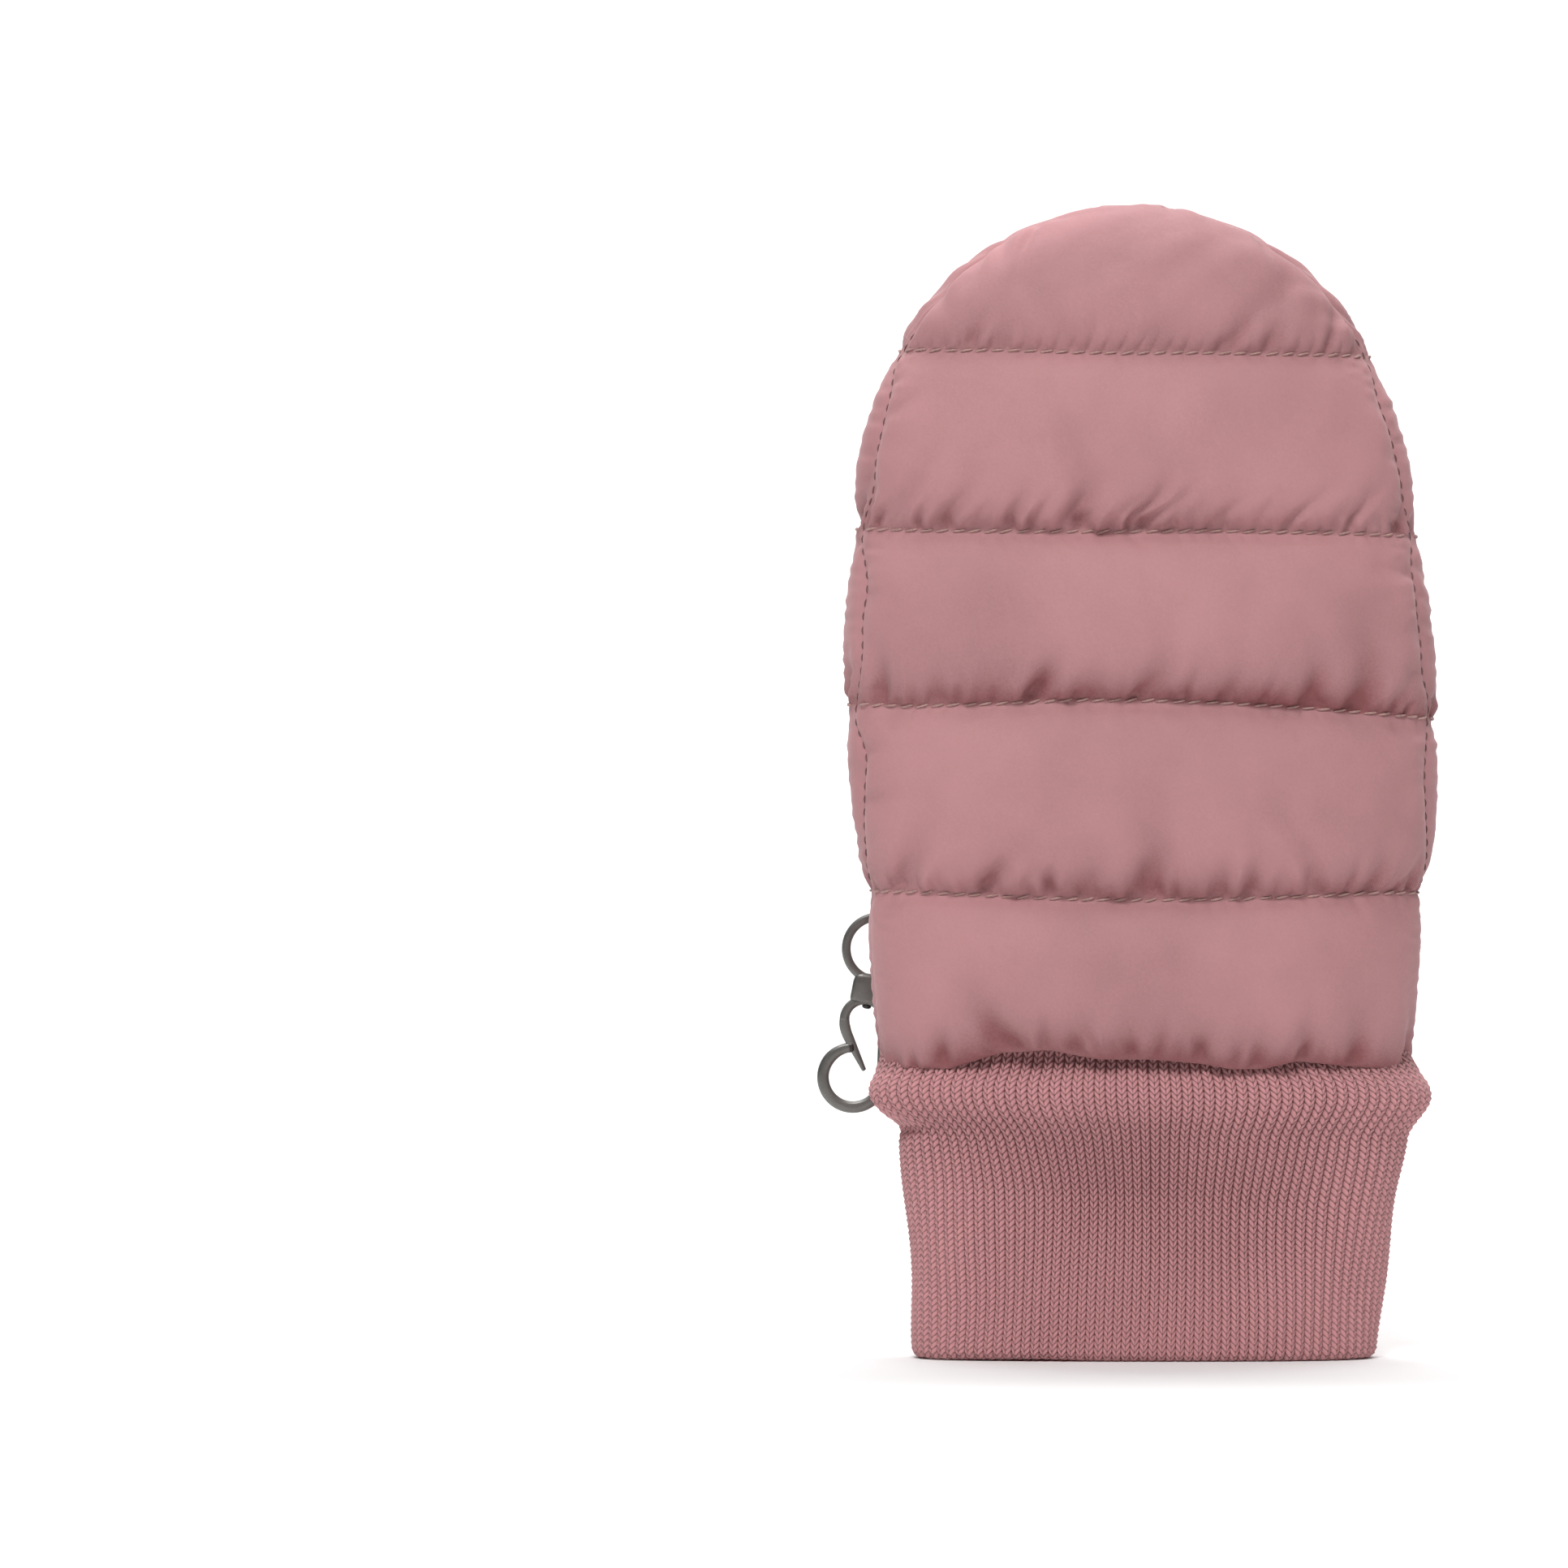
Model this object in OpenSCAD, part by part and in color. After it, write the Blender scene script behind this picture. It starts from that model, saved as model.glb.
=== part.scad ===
// Padded child's ski mitten: quilted hand, folded thumb, double rib cuff and a swivel hook.
// The cuff's opening is centred on the origin, the fingertips point to +Z, the palm faces +Y.

/* [Hand] */
// Length from the cuff's fold to the fingertip
mitten_l = 227; // [220:1:236]
// Width of the hand at its widest
hand_w = 116; // [112:1:120]
// Width of the hand just above the cuff
wrist_w = 106; // [103:1:110]
// Thickness from the middle plane to the back of the hand
back_t = 20; // [19:0.5:23]
// Thickness from the middle plane to the palm
palm_t = 17; // [16.5:0.5:18]

/* [Quilting] */
// Depth of the stitched grooves in the middle of a panel
groove = 5.5; // [4:0.25:6]
// Depth of the stitched grooves at the side seams
side_groove = 1.4; // [1:0.1:2]

/* [Layers] */
// Thickness of the woven outer fabric
shell_t = 0.4; // [0.3:0.05:0.5]
// Depth of the wadding's inner face below the outer fabric
fill_depth = 8; // [7.6:0.1:8.2]
// Thickness of the fleece lining
lining_t = 1; // [0.8:0.1:1.1]

/* [Cuff] */
// Length of the knitted cuff
cuff_l = 57; // [55:1:59]
// Width of the cuff at its fold
cuff_w = 91; // [89:1:93]
// Thickness of the cuff at its fold
cuff_t = 28; // [27:0.5:29]
// Thickness of one layer of rib knit
knit_t = 2; // [1.6:0.1:2.1]

/* [Thumb] */
// Straight length of the thumb sleeve above its bend
thumb_reach = 22; // [18:1:24]
// Width of the thumb sleeve
thumb_w = 31; // [29:1:32]
// Lean of the folded thumb towards the middle of the palm
thumb_lean = 10; // [5:1:12]

/* [Hook] */
// Lean of the hanging hook from the vertical
hook_lean = 11; // [9:0.5:12]
// Thickness of the hook's frame
hook_t = 2.4; // [2.1:0.1:2.5]
// Radius of the swivel pin
pin_r = 0.55; // [0.5:0.05:0.6]

/* [Hidden] */
$fn = 48;
CHANNELS = 5;

PINK = [0.74, 0.54, 0.55];
KNIT = [0.70, 0.49, 0.50];
THREAD = [0.66, 0.50, 0.47];
WADDING = [0.95, 0.95, 0.93];
FLEECE = [0.86, 0.72, 0.72];
ELASTIC = [0.92, 0.90, 0.88];
GUNMETAL = [0.33, 0.32, 0.30];

soft_gap = 0.25;                        // space left between the outer fabric and the wadding
stitch_w = 0.6;                         // width of a stitched line between two channels
thread_t = 0.4;                         // thickness of a row of stitches
thread_gap = 0.05;                      // height of the stitches above the fabric
hem_z = cuff_l + 0.6;                   // lower edge of the hand's panels
lining_depth = fill_depth + 1.3;
belly_l = 140;                          // stretch over which the hand swells and narrows again
dome_h = 56;                            // height of the rounded fingertip
dome_z = mitten_l - dome_h;
thin_z = 140;                           // where the hand starts to thin towards the fingertip
thin_power = 2.4;                       // fullness of the thinning
tip_shift = -2.6;                       // sideways offset of the fingertip
roundness = 0.8;                        // exponent of the section's corners, 1 for an ellipse
quilt_z = [hem_z, 91, 127, 162, 197, mitten_l];

// ---- the hand's surface: height z, angle a round the section, depth d below the fabric ----

function clamp(t) = max(0, min(1, t));
function ease(t) = pow(sin(90 * clamp(t)), 2);
function signed_pow(x, p) = sign(x) * pow(abs(x), p);

function rise(z) = clamp((z - dome_z) / dome_h);
function swell(z) = pow(sin(180 * clamp((z - cuff_l) / belly_l)), 2);
function side_w(z) = (wrist_w + (hand_w - wrist_w) * swell(z)) / 2;
function half_w(z, d) = (side_w(z) - d) * max(0.12, sqrt(1 - pow(rise(z), 2)));
function thin_share(z) = pow(clamp((z - thin_z) / (mitten_l - thin_z)), thin_power);
function thinning(z) = max(0.02, pow(1 - thin_share(z), 1 / thin_power));
function half_t(z, a, d) = ((a > 180 || a < 0 ? back_t : palm_t) - d) * thinning(z);
function centre_x(z) = tip_shift * clamp((z - 100) / 90);
function hand_point(z, a, d) = [
    centre_x(z) + half_w(z, d) * signed_pow(cos(a), roundness),
    half_t(z, a, d) * signed_pow(sin(a), roundness),
    z - d * rise(z)];

// Depth of a stitched line, and of channel k at a share s of its height.
function line_depth(a) = side_groove + (groove - side_groove) * abs(sin(a));
function quilt(k, s, a) =
    line_depth(a) * pow(k == CHANNELS - 1 ? max(0, 1 - 2 * s) : abs(2 * s - 1), 3);

// ---- rows and columns of the panels ----

CHANNEL_ROWS = [0, 0.08, 0.22, 0.5, 0.78, 0.92, 1];
TIP_ROWS = [0, 0.08, 0.22, 0.42, 0.62, 0.78, 0.9, 0.965, 1];
function rows(k) = k == CHANNELS - 1 ? TIP_ROWS : CHANNEL_ROWS;
function row_z(k, s) =
    let (low = quilt_z[k] + (k == 0 ? 0 : stitch_w / 2),
         high = quilt_z[k + 1] - (k == CHANNELS - 1 ? 0 : stitch_w / 2))
    low + s * (high - low);

seam_angle = 22;                        // how far the side seams lie round on the back
seam_gap = 0.4;                         // angle left free on each side of a side seam
back_columns = 16;
palm_columns = 24;
back_from = 180 + seam_angle + seam_gap;
palm_from = seam_gap - seam_angle;
back_a = [for (j = [0:back_columns])
    back_from + (180 - 2 * (seam_angle + seam_gap)) * j / back_columns];
palm_a = [for (j = [0:palm_columns]) palm_from + (180 - 2 * palm_from) * j / palm_columns];

// The thumb's opening in the palm: rows of the second channel, and columns.
THUMB_ROWS = [1, 4];
THUMB_COLUMNS = [13, 15];
thumb_z = (row_z(1, CHANNEL_ROWS[THUMB_ROWS[0]]) + row_z(1, CHANNEL_ROWS[THUMB_ROWS[1] + 1])) / 2;
thumb_a = (palm_a[THUMB_COLUMNS[0]] + palm_a[THUMB_COLUMNS[1] + 1]) / 2;
lining_z = concat(
    [hem_z, 75, row_z(1, 0.08), thumb_z, row_z(1, 0.92), 142, 158, 171],
    [for (s = [0.15, 0.35, 0.53, 0.68, 0.8, 0.9, 0.96, 0.99, 1]) dome_z + dome_h * s]);
LINING_ROWS = [2, 3];

function quilted(angles, channels, d) = [for (k = channels, s = rows(k))
    [for (a = angles) hand_point(row_z(k, s), a, d + quilt(k, s, a))]];
function plain(angles, heights, d) = [for (z = heights) [for (a = angles) hand_point(z, a, d)]];
function channel_z(k) = [for (s = rows(k)) row_z(k, s)];

// ---- a solid between two grids of points with the same rows and columns ----

NO_HOLE = [[-1, -2], [-1, -2]];
function wall(p, q, shift) = [[p, q, q + shift], [p, q + shift, p + shift]];

// hole holds the first and last row and the first and last column of the cells left out.
// wrap joins the last column to the first, and cap closes the last row of a wrapped grid.
module layer(outer, inner, hole = NO_HOLE, wrap = false, cap = false) {
    nr = len(outer);
    nc = len(outer[0]);
    span = wrap ? nc : nc - 1;
    shift = nr * nc;
    back = [shift, shift, shift];
    function at(i, j) = i * nc + (j + nc) % nc;
    function in_hole(i, j) =
        i >= hole[0][0] && i <= hole[0][1] && j >= hole[1][0] && j <= hole[1][1];
    function full(i, j) =
        i >= 0 && i < nr - 1 && (wrap || (j >= 0 && j < span)) && !in_hole(i, j);
    faces = [for (i = [0:nr - 2], j = [0:span - 1]) if (full(i, j)) each concat(
        [[at(i, j), at(i + 1, j), at(i + 1, j + 1)],
         [at(i, j), at(i + 1, j + 1), at(i, j + 1)],
         [at(i, j), at(i + 1, j + 1), at(i + 1, j)] + back,
         [at(i, j), at(i, j + 1), at(i + 1, j + 1)] + back],
        full(i - 1, j) ? [] : wall(at(i, j), at(i, j + 1), shift),
        full(i + 1, j) || (cap && i == nr - 2) ? [] :
            wall(at(i + 1, j + 1), at(i + 1, j), shift),
        full(i, j - 1) ? [] : wall(at(i + 1, j), at(i, j), shift),
        full(i, j + 1) ? [] : wall(at(i, j + 1), at(i + 1, j + 1), shift))];
    lids = !cap ? [] : [
        [for (j = [nc - 1:-1:0]) at(nr - 1, j)],
        [for (j = [0:nc - 1]) at(nr - 1, j) + shift]];
    polyhedron(concat([for (r = outer) each r], [for (r = inner) each r]),
        concat(faces, lids), convexity = 8);
}

// ---- the hand's fabric, wadding and lining ----

EVERY_CHANNEL = [0:CHANNELS - 1];
fill_top = shell_t + soft_gap;
channel_hole = [THUMB_ROWS, THUMB_COLUMNS];
shell_hole = [THUMB_ROWS + [1, 1] * len(CHANNEL_ROWS), THUMB_COLUMNS];
lining_hole = [LINING_ROWS, THUMB_COLUMNS];

module back_shell() {
    color(PINK)
    layer(quilted(back_a, EVERY_CHANNEL, 0), quilted(back_a, EVERY_CHANNEL, shell_t));
}

module palm_shell() {
    color(PINK)
    layer(quilted(palm_a, EVERY_CHANNEL, 0), quilted(palm_a, EVERY_CHANNEL, shell_t),
        hole = shell_hole);
}

module back_fill(k) {
    color(WADDING)
    layer(quilted(back_a, [k], fill_top), plain(back_a, channel_z(k), fill_depth));
}

module palm_fill(k) {
    color(WADDING)
    layer(quilted(palm_a, [k], fill_top), plain(palm_a, channel_z(k), fill_depth),
        hole = k == 1 ? channel_hole : NO_HOLE);
}

module back_lining() {
    color(FLEECE)
    layer(plain(back_a, lining_z, lining_depth), plain(back_a, lining_z, lining_depth + lining_t));
}

module palm_lining() {
    color(FLEECE)
    layer(plain(palm_a, lining_z, lining_depth), plain(palm_a, lining_z, lining_depth + lining_t),
        hole = lining_hole);
}

// The elastic that gathers the palm at the wrist, between the wadding and the lining.
elastic_w = 12;
elastic_t = 0.8;
module wrist_elastic() {
    angles = [for (j = [5:palm_columns - 5]) palm_a[j]];
    heights = [for (step = [-0.5:0.5:0.5]) quilt_z[1] + elastic_w * step];
    color(ELASTIC)
    layer(plain(angles, heights, fill_depth + soft_gap),
        plain(angles, heights, fill_depth + soft_gap + elastic_t));
}

// ---- the rows of stitches ----

seam_clear = 0.7;                       // angle by which the stitches stop short of a panel's edge
module quilt_row(k, angles) {
    heights = [quilt_z[k] - stitch_w / 2, quilt_z[k] + stitch_w / 2];
    last = len(angles) - 1;
    inner = [for (j = [0:last]) angles[j] + seam_clear * (j == 0 ? 1 : j == last ? -1 : 0)];
    function row(z, d) = [for (a = inner) hand_point(z, a, line_depth(a) + d)];
    layer([for (z = heights) row(z, -thread_gap - thread_t)],
        [for (z = heights) row(z, -thread_gap)]);
}

module back_quilt_thread() {
    color(THREAD)
    for (k = [1:CHANNELS - 1]) {
        quilt_row(k, back_a);
    }
}

module palm_quilt_thread() {
    color(THREAD)
    for (k = [1:CHANNELS - 1]) {
        quilt_row(k, palm_a);
    }
}

module side_seam_thread() {
    half_seam = 2 * seam_gap;
    color(THREAD)
    for (a = [180 + seam_angle, 360 - seam_angle]) {
        angles = [a - half_seam, a + half_seam];
        layer(quilted(angles, EVERY_CHANNEL, -thread_gap - thread_t),
            quilted(angles, EVERY_CHANNEL, -thread_gap));
    }
}

// ---- the double rib cuff and the tape over the seam that holds it ----

cuff_columns = 36;
roll_z = cuff_l - 14;                   // where the knit starts to roll out under the hand
roll_l = 9;
roll_w = 4.8;
roll_t = 1.6;
cuff_spread = 0.075;                    // gain in half width for each unit of height
fold_w = 1;                             // flat left at the bottom of the fold
wall_t = 2 * knit_t;
cuff_a = [for (j = [0:cuff_columns - 1]) 360 * j / cuff_columns];
function roll(z) = ease((z - roll_z) / roll_l) - 0.2 * ease((z - roll_z - roll_l) / 5);
function cuff_half_w(z) = cuff_w / 2 + cuff_spread * z + roll_w * roll(z);
function cuff_half_t(z) = cuff_t / 2 + roll_t * roll(z);
function cuff_point(z, a, d) = [
    0.8 * sin(180 * clamp(z / cuff_l)) + (cuff_half_w(z) - d) * signed_pow(cos(a), roundness),
    -1.5 * clamp((z - 20) / 37) + (cuff_half_t(z) - d) * signed_pow(sin(a), roundness),
    z];
// Each row holds its height and how far the rounded fold draws both faces together there.
CUFF_ROWS = concat(
    [[0, (wall_t - fold_w) / 2], [0.5, 0.6], [1.6, 0]],
    [for (z = [14, 28, 40]) [z, 0]],
    [for (s = [0:0.25:1]) [roll_z + (cuff_l - roll_z) * s, 0]]);

module rib_cuff() {
    color(KNIT)
    layer([for (r = CUFF_ROWS) [for (a = cuff_a) cuff_point(r[0], a, r[1])]],
        [for (r = CUFF_ROWS) [for (a = cuff_a) cuff_point(r[0], a, wall_t - r[1])]], wrap = true);
}

tape_t = 0.4;
module cuff_seam_tape() {
    function ring(z, d) = [for (a = cuff_a) hand_point(z, a, d)];
    heights = [cuff_l + 0.1, cuff_l + 0.1 + tape_t];
    color(FLEECE)
    layer([for (z = heights) ring(z, groove)],
        [for (z = heights) ring(z, lining_depth + lining_t)], wrap = true);
}

// ---- the thumb: a sleeve that leaves the palm at a right angle and bends up along it ----

thumb_columns = 20;
thumb_x = hand_point(thumb_z, thumb_a, 0)[0];
thumb_y = palm_t + 1.6;                 // plane in which the sleeve starts
thumb_half_t = 12.5;
thumb_base_r = 13.4;                    // radius of the sleeve where it starts
bend_r = 14;
thumb_dome = 17;                        // height of the thumb's rounded tip
thumb_fill_t = 4.4;
thumb_lining_depth = thumb_fill_t + 0.4;
thumb_lining_t = 0.8;
sleeve_a = [for (j = [0:thumb_columns - 1]) 360 * j / thumb_columns];

// Half width and half thickness of the sleeve, which is round where it turns in the palm's gusset.
function sleeve_half_w(bend) = thumb_base_r + (thumb_w / 2 - thumb_base_r) * ease(bend / 90);
function sleeve_half_t(bend) = thumb_base_r + (thumb_half_t - thumb_base_r) * ease(bend / 90);

// One ring of the sleeve, turned by bend, raised by lift along its axis and shrunk to a share.
function sleeve_ring(bend, lift, share, d) = [for (a = sleeve_a)
    let (corner = 1 - 0.1 * ease(bend / 90),
         out = bend_r + (sleeve_half_t(bend) - d) * share * signed_pow(sin(a), corner))
    [(sleeve_half_w(bend) - d) * share * signed_pow(cos(a), corner),
     out * sin(bend) + lift * cos(bend),
     bend_r - out * cos(bend) + lift * sin(bend)]];
function sleeve(d) = concat(
    [for (bend = [0:18:90]) sleeve_ring(bend, 0, 1, d)],
    [for (s = [0.5, 1]) sleeve_ring(90, thumb_reach * s, 1, d)],
    [for (s = [0.3, 0.55, 0.75, 0.9, 0.98])
        sleeve_ring(90, thumb_reach + (thumb_dome - d) * s, sqrt(1 - s * s), d)]);

module on_thumb() {
    translate([thumb_x, thumb_y, thumb_z])
    rotate([0, thumb_lean, 0])
    children();
}

module thumb_shell() {
    color(PINK)
    on_thumb()
    layer(sleeve(0), sleeve(shell_t), wrap = true, cap = true);
}

module thumb_fill() {
    color(WADDING)
    on_thumb()
    layer(sleeve(fill_top), sleeve(thumb_fill_t), wrap = true, cap = true);
}

module thumb_lining() {
    color(FLEECE)
    on_thumb()
    layer(sleeve(thumb_lining_depth), sleeve(thumb_lining_depth + thumb_lining_t),
        wrap = true, cap = true);
}

// The inset strip of fabric between the palm's opening and the thumb sleeve.
gusset_a = 16.5;
gusset_z = 17;
gusset_t = 0.4;
module thumb_gusset() {
    channel_h = quilt_z[2] - quilt_z[1];
    // A squarish loop lying on the palm's fabric.
    function foot(share) = [for (a = sleeve_a)
        let (z = thumb_z - share * gusset_z * signed_pow(sin(a), 0.55),
             angle = thumb_a - share * gusset_a * signed_pow(cos(a), 0.55),
             s = (z - quilt_z[1]) / channel_h)
        hand_point(z, angle, quilt(1, s, angle) - 0.35)];
    // The round loop that meets the sleeve.
    function rim(r) = [for (a = sleeve_a)
        [thumb_x + r * cos(a), thumb_y - 0.3, thumb_z - r * sin(a)]];
    color(PINK)
    layer([foot(1), rim(thumb_base_r)], [foot(0.95), rim(thumb_base_r - gusset_t)], wrap = true);
}

// ---- the swivel hook, drawn hanging straight down from its eye's centre ----

eye_at = [-52.5, 16, 80.2];
ring_r = 7.15;                          // outer radius of the eye and of the hook's round end
eye_band = 1.7;
hook_band = 2.4;
collar_w = 7.2;
collar_t = 3;
collar_top = 5.9;
collar_end = 11.1;
dome_r = 4.6;                           // radius of the hook's top
dome_at = 14.44;                        // depth of the dome's centre below the eye's centre
dome_gap = 0.15;
shoulder_r = 3.2;                       // inner radius of the hook's top
bend_at = 26.1;                         // depth of the round end's centre
run_gap = 0.05;                         // running clearance of the swivel and of the gate
pin_top = 7.6;
pin_head_r = 0.95;
pin_head_t = 0.7;
gate_at = [-3.1, -15.4];
gate_tip = [1.8, -24.1];
gate_root_r = 1;
gate_root_w = 0.7;
gate_tip_r = 0.45;
gate_t = 2;
socket_r = 1.8;
throat = [30, 110];                     // angles between which the round end is open
spine_lap = 0.2;                        // overlap of the spine with the hook's domed top

module on_clip() {
    translate(eye_at)
    rotate([0, hook_lean, 0])
    children();
}

module flat_piece(t) {
    rotate([90, 0, 0])
    linear_extrude(t, center = true)
    children();
}

module clip_eye() {
    color(GUNMETAL)
    on_clip()
    difference() {
        union() {
            rotate([90, 0, 0])
            rotate_extrude()
            intersection() {
                translate([ring_r - eye_band / 2, 0])
                circle(d = hook_t + 0.2);
                translate([ring_r - eye_band, -hook_t / 2])
                square([eye_band, hook_t]);
            }
            translate([-collar_w / 2, -collar_t / 2, -collar_end])
            cube([collar_w, collar_t, collar_end - collar_top]);
        }
        translate([0, 0, -dome_at])
        sphere(dome_r + dome_gap);
        translate([0, 0, -dome_at])
        cylinder(r = pin_r, h = dome_at - pin_top);
    }
}

module clip_swivel_pin() {
    head_z = sqrt(pow(shoulder_r, 2) - pow(pin_head_r, 2)) - run_gap - dome_at;
    color(GUNMETAL)
    on_clip() {
        translate([0, 0, head_z])
        cylinder(r = pin_r, h = -head_z - pin_top);
        translate([0, 0, head_z - pin_head_t])
        cylinder(r = pin_head_r, h = pin_head_t);
    }
}

function ray(angle, r) = [r * cos(angle), r * sin(angle)];

module clip_hook() {
    color(GUNMETAL)
    on_clip()
    difference() {
        union() {
            // The domed top.
            flat_piece(hook_t)
            translate([0, -dome_at])
            difference() {
                circle(dome_r);
                circle(shoulder_r);
                translate([-2 * dome_r, -2 * dome_r])
                square([4 * dome_r, 2 * dome_r]);
            }
            // The boss that holds the gate's root.
            flat_piece(hook_t)
            translate(gate_at)
            circle(socket_r);
            // The spine from the domed top to the round end.
            flat_piece(hook_t)
            polygon([
                [shoulder_r, spine_lap - dome_at],
                [dome_r, spine_lap - dome_at],
                [ring_r, -bend_at],
                [ring_r - hook_band, -bend_at]]);
            // The round end, open between the throat's angles.
            flat_piece(hook_t)
            translate([0, -bend_at])
            difference() {
                circle(ring_r);
                circle(ring_r - hook_band);
                polygon([[0, 0], ray(throat[0], 12), ray(throat[1], 12)]);
            }
        }
        translate([0, 0, -dome_at])
        cylinder(r = pin_r + run_gap, h = dome_at);
        // The gate's socket, open towards the round end.
        flat_piece(hook_t + 1)
        translate(gate_at)
        circle(gate_root_r + run_gap);
        flat_piece(hook_t + 1)
        translate(gate_at)
        polygon([[0, 0], ray(-112, 4), ray(-52, 6), ray(8, 4)]);
    }
}

module clip_gate() {
    reach = gate_tip - gate_at;
    side = [reach[1], -reach[0]] / norm(reach);
    color(GUNMETAL)
    on_clip()
    flat_piece(gate_t)
    union() {
        translate(gate_at)
        circle(gate_root_r);
        polygon([
            gate_at + side * gate_root_w,
            gate_tip + side * gate_tip_r,
            gate_tip - side * gate_tip_r,
            gate_at - side * gate_root_w]);
        translate(gate_tip)
        circle(gate_tip_r);
    }
}

// ---- the webbing loop that holds the eye at the palm's wrist seam ----

loop_w = 5.6;
loop_t = 1;
loop_r = 1.45;                          // inner radius of the loop where it holds the eye
loop_z = eye_at[2] + ring_r - eye_band + 0.1;
loop_root = [9.9, 92.7];                // axis of the loop's sewn end, across the palm
loop_root_r = 1.5;
loop_top = 88.6;                        // height up to which both plies run straight

// Outline of the loop for the ply's inner or outer face, in the plane across the palm.
function loop_outline(r, root_r, trim) = concat(
    [for (a = [90:30:270]) loop_root + ray(a, root_r)],
    [[eye_at[1] - r, loop_top - 2 + 0.6 * trim]],
    [for (a = [180:15:360]) [eye_at[1], loop_z] + ray(a, r)],
    [[eye_at[1] + r, loop_top + 1 - trim]]);

module clip_loop() {
    color(PINK)
    translate([eye_at[0] - loop_w / 2, 0, 0])
    rotate([90, 0, 90])
    linear_extrude(loop_w)
    difference() {
        polygon(loop_outline(loop_r + loop_t, loop_root_r, 0));
        polygon(loop_outline(loop_r, loop_root_r - loop_t, loop_t));
    }
}

// The short dense row of stitches that holds the loop's end on the palm.
module clip_loop_bartack() {
    tack_h = 0.8;
    color(THREAD)
    translate([eye_at[0] - loop_w / 2, loop_root[0] - loop_root_r - thread_t - thread_gap,
        loop_root[1] - tack_h / 2])
    cube([loop_w, thread_t, tack_h]);
}

// ---- the mitten ----

back_shell();
palm_shell();
back_lining();
palm_lining();
wrist_elastic();
back_fill(0);  // back_fill_1
back_fill(1);  // back_fill_2
back_fill(2);  // back_fill_3
back_fill(3);  // back_fill_4
back_fill(4);  // back_fill_5
palm_fill(0);  // palm_fill_1
palm_fill(1);  // palm_fill_2
palm_fill(2);  // palm_fill_3
palm_fill(3);  // palm_fill_4
palm_fill(4);  // palm_fill_5
back_quilt_thread();
palm_quilt_thread();
side_seam_thread();
rib_cuff();
cuff_seam_tape();
thumb_shell();
thumb_fill();
thumb_lining();
thumb_gusset();
clip_loop();
clip_loop_bartack();
clip_eye();
clip_swivel_pin();
clip_hook();
clip_gate();
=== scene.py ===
"""Blender looks for a child's quilted ski mitten: padded hand, thumb, rib-knit cuff and snap hook.

Lengths are in millimetres until mesh_object scales them. z is the height, t the length up the
middle of the hand from its hem, share the place across a panel from 0 to 1, and a an angle round
a section in degrees: 0 at the right, 90 at the palm and 270 at the back."""
import math

import bmesh
import bpy
import numpy as np
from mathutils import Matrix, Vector


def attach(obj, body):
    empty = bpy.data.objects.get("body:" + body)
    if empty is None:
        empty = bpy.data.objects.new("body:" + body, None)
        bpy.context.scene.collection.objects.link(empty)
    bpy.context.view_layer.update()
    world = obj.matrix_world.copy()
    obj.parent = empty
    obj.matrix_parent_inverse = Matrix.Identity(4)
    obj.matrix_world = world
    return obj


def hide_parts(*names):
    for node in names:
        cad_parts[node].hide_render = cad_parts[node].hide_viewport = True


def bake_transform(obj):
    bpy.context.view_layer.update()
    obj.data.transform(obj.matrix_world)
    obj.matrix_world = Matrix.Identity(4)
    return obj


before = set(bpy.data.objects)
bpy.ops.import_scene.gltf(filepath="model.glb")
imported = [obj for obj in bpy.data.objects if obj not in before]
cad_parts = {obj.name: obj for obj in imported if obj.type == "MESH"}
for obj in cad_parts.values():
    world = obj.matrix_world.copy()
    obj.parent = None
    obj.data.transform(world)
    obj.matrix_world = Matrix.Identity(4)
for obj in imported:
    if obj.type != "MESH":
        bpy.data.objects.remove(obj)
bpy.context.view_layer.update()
MM = 0.001

# ---- Sizes, as in the CAD model ----
MITTEN_L = 227.0
WRIST_W, HAND_W = 106.0, 116.0
BACK_T, PALM_T = 20.0, 17.0
CUFF_L, CUFF_W, CUFF_T, WALL_T = 57.0, 91.0, 28.0, 4.0
HEM_Z = CUFF_L + 0.6
BELLY_L = 140.0
DOME_H = 56.0
DOME_Z = MITTEN_L - DOME_H
THIN_Z, THIN_POWER = 140.0, 2.4
TIP_SHIFT = -2.6
ROUNDNESS = 0.8
SEAM_ANGLE = 22.0
QUILT_Z = [HEM_Z, 91.0, 127.0, 162.0, 197.0]
LINING_DEPTH = 9.3
BACK, PALM = 0, 1


# ---- Small helpers ----
def clamp(t):
    return np.clip(t, 0.0, 1.0)


def ease(t):
    return np.sin(np.pi / 2 * clamp(t)) ** 2


def bell(x, middle, width):
    return np.exp(-((x - middle) / width) ** 2)


def signed_pow(x, p):
    return np.sign(x) * np.abs(x) ** p


def turns(count):
    """Angles in radians evenly spaced round a circle."""
    return np.arange(count) * 2 * np.pi / count


def cos_sin(degrees, power=1.0):
    """Cosine and sine of angles in degrees. A power below 1 makes their circle squarer."""
    a = np.radians(degrees)
    return signed_pow(np.cos(a), power), signed_pow(np.sin(a), power)


def join(*columns):
    """Points from their coordinates, which may be numbers or arrays."""
    return np.stack(np.broadcast_arrays(*columns), axis=-1)


def unit(v):
    return v / np.maximum(np.linalg.norm(v, axis=-1, keepdims=True), 1e-9)


def length_along(points):
    return np.concatenate([[0], np.cumsum(np.linalg.norm(np.diff(points, axis=0), axis=1))])


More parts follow.
